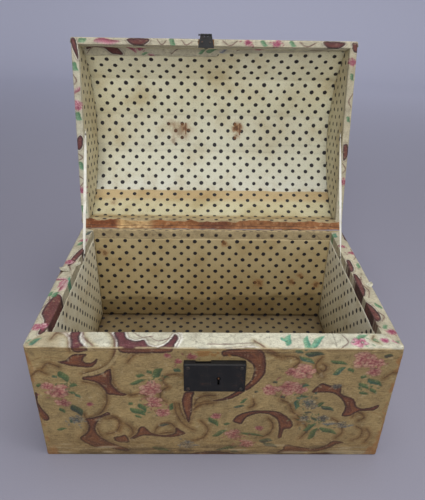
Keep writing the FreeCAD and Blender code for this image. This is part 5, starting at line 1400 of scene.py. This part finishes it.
def dome_tone(u, v):
    run = v / MM + 0.7 * hills(u, v, 0.02, 12)
    tone = blended(run, [(0, (168, 148, 108)), (15, (180, 162, 122)), (20, (196, 190, 156)),
                         (42, (200, 192, 156)), (50, (192, 170, 128)), (64, (194, 172, 130)),
                         (65, (214, 214, 200)), (92, (212, 211, 190)), (180, (222, 219, 192)),
                         (200, (232, 230, 200)), (282, (232, 228, 198))])
    for height, seed in ((185, 13), (139, 14), (128, 15)):
        line = np.abs(run - height - 2.5 * hills(u, 0.0, 0.05, seed))
        tone = tone * (1 - 0.10 * ramp(line, 1.6, 0.2)[..., None])
    # Darker within about 14 mm of the lid's ends: painted shade in the corners.
    side = ramp(LID_ROOM_X / MM - np.abs(u) / MM + 4 * hills(u, v, 0.03, 16), 14, 0)[..., None]
    return tone * (1 - 0.16 * side)


def lid_end_tone(u, z):
    return blended(z / MM + 6 * hills(u, z, 0.04, 17), [(0, (196, 186, 154)), (40, (208, 200, 170))])


def on_dome(u, v, radius, strength):
    return (*dome_lining_place(np.array(u * MM), np.array(v * MM)), radius, strength)


DOME_STAINS = [(-50, 161, 0.021, 0.35), (-43, 164, 0.010, 0.6), (-66, 171, 0.010, 0.25),
               (37, 167, 0.011, 0.85), (38, 154, 0.008, 0.6), (-150, 40, 0.008, 0.3), (-60, 146, 0.009, 0.3)]
LID_LINED = lining_finish("dotted_lining_lid", [on_dome(*stain) for stain in DOME_STAINS])


def lid_end_lining(name, way, seed, dots):
    half = ROOM_HALF - LINING
    low = LID_FACE + LID_INSIDE_LAP - 0.5 * MM
    columns, rows = round(2 * half / LINING_STEP), round(LID_HEIGHT / LINING_STEP)
    u, share = np.meshgrid(np.linspace(-half, half, columns), np.linspace(0, 1, rows))
    high = np.interp(LID_MIDDLE - way * u, SECTION[1:-1, 0], SECTION[1:-1, 1])
    z = low + (high - low) * share
    points = opened(way * (LID_ROOM_X - LINING) + 0 * u, LID_MIDDLE - way * u, z)
    edge = np.minimum(np.minimum(share, 1 - share) * (high - low), half - np.abs(u))
    heights = 0.15 * MM * hills(u, z, 0.03, seed) * ramp(edge, 0, 5 * MM)
    counted = (u / MM - dots[0]) / DOT_STEP, (z / MM - dots[1]) / DOT_STEP
    return sheet_piece(name, points, counted, lid_end_tone(u, z), heights, LID_LINED, depth=LINING)


spans = (-LID_ROOM_X, LID_ROOM_X), (0, SECTION_RUN[-1])
piece = lining_piece("lid_top_dotted_lining", dome_lining_place, *spans, LID_LINED, 131, dome_tone,
                     (20.5, 20.7, 3.45, -5.22), 1.6 * MM)
place_piece(piece, "dotted_lining", "lid", "lid_top_lining")
for word, way, seed, dots in (("left", -1, 133, (3.02, -5.15)), ("right", 1, 135, (-1.30, -4.37))):
    piece = lid_end_lining(f"lid_{word}_dotted_lining", way, seed, dots)
    place_piece(piece, "dotted_lining", "lid", f"lid_{word}_lining")

# %% The flowered strip over the lining's front edge
LAP_MARKS = {
    "roses": [(-101, 296, 7, 182), (60, 298, 6, 183)],
    "leaves": [
        (-118, 304, -107, 286, 10, "deep"), (-101, 284, -91, 287, 4, "green"), (-92, 285, -82, 282, 4,
        "deep"), (-12, 290, 5, 296, 7, "green"), (-22, 286, -12, 294, 5, "green"), (6, 290, 19, 296, 7,
        "blue"), (100, 300, 112, 305, 5, "green")],
    "scrolls": [
        [-175, 291, -171, 301, -155, 307, -139, 301, -126, 284, -141, 284, -150, 293, -162, 298, -170, 293],
        [130, 300, 150, 304, 160, 308, 136, 307]],
    "lines": [
        [-176, 284, -166, 296, -148, 303, -130, 298], [-60, 285, -50, 294, -36, 298], [30, 292, 44, 300, 58,
        306]],
}


def front_lap():
    """A strip of wallpaper on the lining, with a cut lower edge that runs up to the right."""
    u, share = grid(-LID_ROOM_X + 0.5 * MM, LID_ROOM_X - 0.5 * MM, 0, SECTION_RUN[-1] - 280 * MM, 1.0 * MM)
    share = share / share.max()
    low = np.interp(u / MM, [-181, 3, 5, 179], [280.5, 281.5, 286, 294]) * MM
    low = low + 0.6 * MM * hills(u, 0.0, 0.012, 19)
    v = low + (SECTION_RUN[-1] - 0.4 * MM - low) * share
    sheet = Print(u / MM, v / MM, 0.12, repeat=False)
    strip_print(sheet, LAP_MARKS)
    mottle(sheet.colour, u, v, 18, 0.7)
    heights = (0.9 + 0.25 * hills(u, v, 0.02, 20)) * MM
    return sheet_piece("lid_front_lap", dome_lining_place(u, v), (u, v), sheet.colour, heights, PRINTED,
                       depth=0.1 * MM)


place_piece(front_lap(), "wallpaper", "lid")

# %% [markdown]
# ## Lifted flaps
# Where the strips on the ends have come unstuck, small tongues of paper stand up from the rim and show
# their pale backs.

# %% Flaps on the ends' rims
FLAP_ROOT = BODY_TOP + 0.3 * MM


def flap(name, root, way, reach, width, lift, age):
    """A tongue of paper: root is its middle on the rim and way is where it points, all in metres."""
    rows, columns = 14, 16
    along, across = np.meshgrid(np.linspace(0, 1, rows), np.linspace(-1, 1, columns))
    way = np.array(way, float) / np.hypot(*way)
    half = width / 2 * (1 - along) ** 0.6 + 0.6 * MM
    out = reach * np.sin(along * 1.9) / math.sin(1.57)
    rise = lift * along ** 1.6 + 0.5 * MM * along * hills(across, along, 0.7, 23)
    x = root[0] + way[0] * out - way[1] * across * half
    y = root[1] + way[1] * out + way[0] * across * half
    z = FLAP_ROOT + rise
    sheet = Print(x / MM, y / MM, age, repeat=False)
    veil(sheet.colour, 0.6 * np.ravel(along), tint(226, 220, 198))
    mottle(sheet.colour, x, y, 24, 0.8)
    return sheet_piece(name, np.stack([x, y, z], -1)[::-1], (x[::-1], y[::-1]),
                       sheet.colour.reshape(columns, rows, 3)[::-1], 0 * x, PRINTED, depth=0.25 * MM)


FLAPS = [("flap_left_long", (-0.1795, 0.014), (-1, -0.45), 0.011, 0.012, 0.0042, 0.2),
         ("flap_left_curl", (-0.1735, 0.022), (1, 0.6), 0.007, 0.006, 0.0035, 0.1),
         ("flap_right_curl", (0.1835, -0.020), (1, 0.5), 0.006, 0.008, 0.0035, 0.0)]
for values in FLAPS:
    piece = flap(*values)
    place_piece(piece, "wallpaper", "trunk_body")
    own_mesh(piece)

# %% [markdown]
# ## Things that repeat
# Nails and loose threads repeat, so Geometry Nodes place them: a node tree with named sizes sets one shape
# on every marked point. The result is made a plain mesh, one for each body that moves.

# %% A short way to write node trees
class Growth(Graph):
    """A Geometry Nodes tree that turns marked points into a finished mesh."""

    def __init__(self, name, sizes):
        self.tree = bpy.data.node_groups.new(name, "GeometryNodeTree")
        face = self.tree.interface
        face.new_socket("Points", in_out="INPUT", socket_type="NodeSocketGeometry")
        self.names = {word: face.new_socket(word, in_out="INPUT", socket_type="NodeSocketFloat").identifier
                      for word in sizes}
        face.new_socket("Mesh", in_out="OUTPUT", socket_type="NodeSocketGeometry")
        self.sizes = sizes
        self.start, self.end = self.tree.nodes.new("NodeGroupInput"), self.tree.nodes.new("NodeGroupOutput")

    def node(self, kind, settings=None, inputs=None, output=0):
        return self.add(kind, settings, inputs).outputs[output]

    def size(self, word):
        return self.start.outputs[word]

    def maths(self, operation, first, second):
        return self.node("ShaderNodeMath", {"operation": operation}, {0: first, 1: second})

    def marked(self, word, kind="FLOAT"):
        return self.node("GeometryNodeInputNamedAttribute", {"data_type": kind}, {"Name": word})

    def outward(self):
        """A turn from +Z to each point's outward direction."""
        return self.node("FunctionNodeAlignRotationToVector", {"axis": "Z"},
                         {"Vector": self.marked("outward", "FLOAT_VECTOR")})

    def instances(self, shape, turned, scale):
        return self.node("GeometryNodeInstanceOnPoints",
                         inputs={"Points": self.size("Points"), "Instance": shape, "Rotation": turned,
                                 "Scale": scale})

    def close(self, shapes, material):
        joined = self.tree.nodes.new("GeometryNodeJoinGeometry")
        for shape in shapes:
            self.tree.links.new(shape, joined.inputs[0])
        real = self.node("GeometryNodeRealizeInstances", inputs={0: joined.outputs[0]})
        smooth = self.node("GeometryNodeSetShadeSmooth", inputs={0: real})
        done = self.node("GeometryNodeSetMaterial", inputs={0: smooth, "Material": material})
        self.tree.links.new(done, self.end.inputs[0])

    def grow(self, name, places, floats, vectors):
        """The finished mesh from places in metres, with one number or vector for each under every word."""
        mesh = bpy.data.meshes.new(name + "_points")
        mesh.from_pydata([tuple(place) for place in places], [], [])
        for words, kind, key in ((floats, "FLOAT", "value"), (vectors, "FLOAT_VECTOR", "vector")):
            for word, values in words.items():
                marks = mesh.attributes.new(word, kind, "POINT")
                marks.data.foreach_set(key, np.ravel(values).astype(np.float32))
        holder = put(name + "_points", mesh)
        modifier = holder.modifiers.new("growth", "NODES")
        modifier.node_group = self.tree
        for word, value in self.sizes.items():
            modifier[self.names[word]] = value
        seen = holder.evaluated_get(bpy.context.evaluated_depsgraph_get())
        grown = bpy.data.meshes.new_from_object(seen)
        holder.modifiers.remove(modifier)
        bpy.data.objects.remove(holder)
        grown.name = name
        print(f"{name}: {len(places)} places, {len(grown.polygons)} faces")
        return put(name, grown)


print("growth ready")

# %% [markdown]
# ## Nails and tacks
# Each is a drawn shank under a small hammered head. The heads differ a little in height, as they do when
# they are struck by hand.

# %% Nails and tacks
def bare_iron(name, base, rust_tone, cover):
    finish = Finish(name)
    broad, fine = finish.noise(110.0, 4.0, 0.6), finish.noise(800.0, 3.0, 0.6)
    rust = (broad * 0.55 + fine * 0.45).step(0.62 - cover, 0.72 - cover)
    colour = finish.mix(rust, base, rust_tone)
    return finish.done(colour, fine, 0.3 * MM, 0.6, metallic=0.55 - 0.4 * rust, roughness=0.45 + 0.35 * rust)


NAILS = bare_iron("nail_iron", tint(58, 54, 50), tint(104, 66, 40), 0.08)


def nail_growth():
    growth = Growth("nails", {"Dome": 0.31, "Shank radius": 0.9 * MM, "Unevenness": 0.12})
    turned = growth.outward()
    head = growth.node("GeometryNodeMeshUVSphere", inputs={"Segments": 18, "Rings": 8, "Radius": 1.0})
    low = growth.maths("SUBTRACT", 1.0, growth.size("Unevenness"))
    high = growth.maths("ADD", 1.0, growth.size("Unevenness"))
    chance = growth.node("FunctionNodeRandomValue", {"data_type": "FLOAT"}, {2: low, 3: high, "Seed": 4}, 1)
    dome = growth.maths("MULTIPLY", growth.size("Dome"), chance)
    radius = growth.marked("head")
    tall = growth.maths("MULTIPLY", radius, dome)
    head_scale = growth.node("ShaderNodeCombineXYZ", inputs={0: radius, 1: radius, 2: tall})
    heads = growth.instances(head, turned, head_scale)
    rod = growth.node("GeometryNodeMeshCylinder", inputs={"Vertices": 10, "Radius": 1.0, "Depth": 1.0})
    rod = growth.node("GeometryNodeTransform", inputs={"Geometry": rod, "Translation": (0, 0, -0.5)})
    thick = growth.size("Shank radius")
    rod_scale = growth.node("ShaderNodeCombineXYZ", inputs={0: thick, 1: thick, 2: growth.marked("shank")})
    rods = growth.instances(rod, turned, rod_scale)
    growth.close([heads, rods], NAILS)
    return growth


HINGE_X = [side * 120 + step for side in (-1, 1) for step in (-13, 0, 13)]
LID_BACKWARD = tuple(opened(0, 1, 0) - opened(0, 0, 0))
LID_DOWNWARD = tuple(opened(0, 0, 0) - opened(0, 0, 1))
NAIL_ROWS = {
    "trunk_body": [([(x, -136.05, z) for x in (-27, 27) for z in (110.8, 138.8)], (0, -1, 0), 2.1, 23.2),
                   ([(x, 130.25, 149.9) for x in HINGE_X], (0, 1, 0), 2.1, 5.8),
                   ([(-171.15, 60, 155)], (1, 0, 0), 2.2, 7.4), ([(171.15, 60, 155)], (-1, 0, 0), 2.2, 7.4)],
    "lid": [([(x, 144.15, 160.95) for x in HINGE_X], LID_BACKWARD, 2.1, 5.8),
            ([(-178.55, 168, 287)], (1, 0, 0), 2.2, 7.4), ([(178.55, 168, 287)], (-1, 0, 0), 2.2, 7.4),
            ([(x, 188.3, 405.95) for x in (-16.85, -6.35)], LID_DOWNWARD, 1.45, 7.8)],
}
NAIL_NODES = {"trunk_body": ("lock_nails", "hinge_body_nails", "stay_body_tacks"),
              "lid": ("hinge_lid_nails", "stay_lid_tacks", "hasp_nails")}
nails = nail_growth()
for body, rows in NAIL_ROWS.items():
    each = [(np.array(place) * MM, outward, head * MM, shank * MM)
            for places, outward, head, shank in rows for place in places]
    places, outward, heads, shanks = zip(*each)
    sizes = {"head": heads, "shank": shanks}
    piece = nails.grow(body + "_nails_and_tacks", places, sizes, {"outward": outward})
    place_piece(piece, "nail_iron", body, *NAIL_NODES[body])

# %% [markdown]
# ## Stay tapes
# Two narrow woven cotton tapes hold the lid open. Each is tacked inside an end of the body and inside the
# same end of the lid. Its cut ends are frayed into threads.

# %% Woven tape and loose threads
TAPE_WIDTH = 4 * MM
TAPE_THICK = 0.9 * MM


def tape_finish():
    finish = Finish("woven_tape")
    across, along, _ = finish.parts(finish.node("UVMap", {"uv_map": "paper"}))
    weave = (across * 9500.0).sine() * (along * 6200.0).sine() * 0.5 + 0.5
    rib = (across * 4700.0).sine() * 0.5 + 0.5
    dirt = finish.noise(70.0, 4.0, 0.6)
    ink = finish.printed()
    colour = finish.mix(weave * 0.3, ink, tint(206, 200, 184), "MULTIPLY")
    colour = finish.mix(dirt.step(0.5, 0.75) * 0.5, colour, tint(190, 176, 146), "MULTIPLY")
    return finish.done(colour, weave * 0.6 + rib * 0.3, 0.3 * MM, 0.8, roughness=0.9)


def thread_finish(name, first, second):
    finish = Finish(name)
    colour = finish.mix(finish.noise(400.0, 3.0, 0.6).step(0.35, 0.65), first, second)
    return finish.done(colour, finish.noise(3000.0), 0.1 * MM, 0.5, roughness=0.9)


def thread_growth(name, material):
    """Threads that leave each point along its own direction and sag into an arc."""
    growth = Growth(name, {"Thickness": 0.11 * MM, "Curl": 0.8})
    bend = {"Resolution": 6, "Start": (0, 0, 0), "Middle": (0.35, 0, 0.55), "End": (0, 0.25, 1)}
    path = growth.node("GeometryNodeCurveQuadraticBezier", inputs=bend)
    outline = growth.node("GeometryNodeCurvePrimitiveCircle", {"mode": "RADIUS"},
                          {"Resolution": 5, "Radius": growth.size("Thickness")})
    spin = growth.node("FunctionNodeRandomValue", {"data_type": "FLOAT_VECTOR"},
                       {0: (-0.4, -0.4, 0), 1: (0.4, 0.4, 6.28), "Seed": 7}, 0)
    spin = growth.node("ShaderNodeVectorMath", {"operation": "SCALE"},
                       {0: spin, "Scale": growth.size("Curl")})
    turned = growth.outward()
    loose = growth.node("FunctionNodeEulerToRotation", inputs={0: spin})
    turned = growth.node("FunctionNodeRotateRotation", {"rotation_space": "LOCAL"},
                         {"Rotation": turned, "Rotate By": loose})
    threads = growth.instances(path, turned, growth.marked("length"))
    real = growth.node("GeometryNodeRealizeInstances", inputs={0: threads})
    tubes = growth.node("GeometryNodeCurveToMesh",
                        inputs={"Curve": real, "Profile Curve": outline, "Fill Caps": True})
    growth.close([tubes], material)
    return growth


def tape(name, low, high):
    """A ribbon from low to high, whose flat side faces the middle of the trunk."""
    low, high = np.array(low) * MM, np.array(high) * MM
    along = (high - low) / np.linalg.norm(high - low)
    inward = np.array([-np.sign(low[0]), 0, 0])
    across = np.cross(along, inward)
    across /= np.linalg.norm(across)
    inward = np.cross(across, along)
    length = np.linalg.norm(high - low)
    turn = np.linspace(0, 2 * math.pi, 14, endpoint=False)
    wide = np.sign(np.cos(turn)) * np.abs(np.cos(turn)) ** 0.35 * TAPE_WIDTH / 2
    thick = np.sin(turn) * TAPE_THICK / 2
    run = np.linspace(0, length, 150)
    sway = 0.25 * MM * hills(run, 0.0, 0.02, 25)
    twist = (1.1 * np.sin(run / length * math.pi) ** 0.6)[:, None]
    aside = (wide * np.cos(twist) - thick * np.sin(twist) + sway[:, None])[..., None]
    off = (wide * np.sin(twist) + thick * np.cos(twist))[..., None]
    points = low + run[:, None, None] * along + aside * across + off * inward
    uv = np.broadcast_arrays(wide, run[:, None])
    uneven = (1 + 0.05 * hills(run, 0.0, 0.012, 26))[:, None, None]
    colours = np.array(tint(242, 240, 230)) * uneven + 0 * points
    piece = sheet_piece(name, points, uv, colours, 0 * points[..., 0], TAPE, ring=True, depth=0.0)
    return piece, along, across


TAPE = tape_finish()
thread = thread_finish("tape_thread", tint(226, 222, 206), tint(190, 180, 156))
threads = thread_growth("tape_threads", thread)
for word, side in (("left", -1), ("right", 1)):
    low, high = (side * 171.7, 57.0, 151.4), (side * 178.9, 170.9, 290.6)
    piece, along, across = tape(word + "_stay", low, high)
    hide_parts(word + "_stay_tape")
    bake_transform(piece)
    for body, end, way in (("trunk_body", low, -along), ("lid", high, along)):
        shares = np.linspace(-0.46, 0.46, 9)
        places = [np.array(end) * MM + across * share * TAPE_WIDTH for share in shares]
        lengths = (2.2 + 1.4 * np.abs(hills(shares * 9, 0.0, 1.0, 27))) * MM
        fringe = threads.grow(f"{word}_stay_threads_{body}", places, {"length": lengths},
                              {"outward": [way] * len(shares)})
        place_piece(fringe, "cotton_tape", body)

# %% [markdown]
# ## The worn strip over the hinge line
# Inside the back, a strip of brown paper on cloth bridges the body and the lid and hides the hinges' gap.
# It is creased along the hinge line, thick and reddish at the left, and rubbed to pale cloth beside that.

# %% The worn strip
STRIP_HALF = 186 * MM
STRIP_PATH = np.array([(125.2, 162.4), (127.0, 162.7), (129.6, 164.9), (132.2, 165.4), (133.6, 171.1),
                       (134.35, 174.3)]) * MM


def strip_finish():
    finish = Finish("worn_strip")
    ink = finish.printed()
    x, _, z = finish.parts(finish.here)
    cloth = (x * 5200.0).sine() * (z * 5200.0).sine() * 0.5 + 0.5
    cloud = finish.noise(150.0, 5.0, 0.65)
    colour = finish.mix(cloud.step(0.4, 0.7) * 0.5, ink, tint(120, 88, 60), "MULTIPLY")
    colour = finish.mix(cloud.step(0.42, 0.3) * 0.35, colour, tint(206, 178, 132))
    return finish.done(colour, cloud + cloth * 0.2, 0.6 * MM, 0.9, roughness=0.85)


def worn_strip():
    u, share = grid(-STRIP_HALF, STRIP_HALF, 0, 14 * MM, 0.9 * MM)
    share = share / share.max()
    run = run_along(STRIP_PATH)
    low = run[-1] * (0.04 + 0.06 * np.abs(hills(u, 0.0, 0.02, 201)))
    high = run[-1] * (0.84 + 0.1 * hills(u, 0.0, 0.016, 202)) + 1.0 * MM * ramp(u / MM, -120, -134)
    v = low + (high - low) * share
    y, z = np.interp(v, run, STRIP_PATH[:, 0]), np.interp(v, run, STRIP_PATH[:, 1])
    tone = blended(u / MM, [(-186, (150, 100, 60)), (-176, (128, 74, 42)), (-142, (136, 80, 46)),
                            (-132, (190, 158, 108)), (-92, (194, 160, 112)), (-84, (156, 104, 62)),
                            (-22, (150, 98, 58)), (-14, (112, 66, 42)), (20, (118, 70, 44)),
                            (30, (156, 106, 66)), (168, (146, 98, 60))])
    colours = tone.reshape(-1, 3)
    crease = np.abs(v - run[-1] * 0.34 - 0.6 * MM * hills(u, 0.0, 0.012, 203))
    veil(colours, 0.75 * ramp(crease, 1.1 * MM, 0.3 * MM), tint(60, 38, 26))
    ragged = share + 0.3 * hills(u, v, 0.006, 204)
    veil(colours, 0.55 * ramp(ragged, 0.3, 0.1) * (u < -60 * MM), tint(110, 66, 38))
    mottle(colours, u, v, 205)
    heights = (0.7 + 0.45 * hills(u, v, 0.008, 206, 2)) * MM
    return sheet_piece("hinge_line_strip", np.stack([u, y, z], -1), (u, v), colours, heights, strip_finish(),
                       depth=0.3 * MM)


piece = worn_strip()
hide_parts("hinge_strip")
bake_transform(piece)

# %% [markdown]
# ## Iron, steel and wood
# The lock, hinges and handle are thin japanned iron, black and slightly glossy, with rust where it has worn
# through. The handle's cotters, clinched inside the dome, are rusty all over. The boards are old pine.
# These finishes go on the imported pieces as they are.

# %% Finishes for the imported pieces
def black_iron():
    finish = Finish("black_iron")
    broad, fine = finish.noise(90.0, 4.0, 0.6), finish.noise(620.0, 3.0, 0.6)
    scratch = finish.noise(1.0, 2.0, at=finish.stretched(1400.0, 1400.0, 40.0))
    colour = finish.mix(broad.step(0.35, 0.75), tint(15, 15, 16), tint(27, 26, 26))
    rust = (broad * 0.6 + fine * 0.4).step(0.56, 0.72)
    colour = finish.mix(rust * 0.35, colour, tint(92, 56, 34))
    colour = finish.mix(scratch.step(0.68, 0.74) * 0.3, colour, tint(82, 82, 80))
    relief = fine * 0.5 + broad * 0.5
    return finish.done(colour, relief, 0.3 * MM, 0.5, metallic=0.25, roughness=0.42 + 0.3 * broad)


def old_wood():
    finish = Finish("old_pine")
    grain = finish.noise(1.0, 5.0, 0.62, at=finish.stretched(14.0, 260.0, 260.0))
    cloud = finish.noise(25.0, 4.0, 0.6)
    colour = finish.mix(grain.step(0.3, 0.7), tint(150, 112, 70), tint(104, 72, 42))
    colour = finish.mix(cloud.step(0.45, 0.8) * 0.6, colour, tint(66, 50, 36))
    return finish.done(colour, grain, 0.8 * MM, 0.6, roughness=0.75 + 0.15 * grain)


RUSTY = bare_iron("rusty_iron", tint(116, 82, 56), tint(140, 92, 54), 0.12)
STEEL = bare_iron("spring_steel", tint(120, 118, 114), tint(96, 64, 42), 0.0)
SLOT_FINISH = {"black_iron": black_iron(), "spring_steel": STEEL, "nail_iron": NAILS,
               "board_wood": old_wood()}
RUSTED = ("handle_cotters", "lock_key_pin")
dressed = 0
for part in frame["record"]["subparts"]:
    finish = RUSTY if part["node"] in RUSTED else SLOT_FINISH.get(part["material_slot"])
    if finish:
        mesh = frame["nodes"][part["node"]].data
        mesh.materials.clear()
        mesh.materials.append(finish)
        dressed += 1
print("dressed", dressed, "packed pieces")
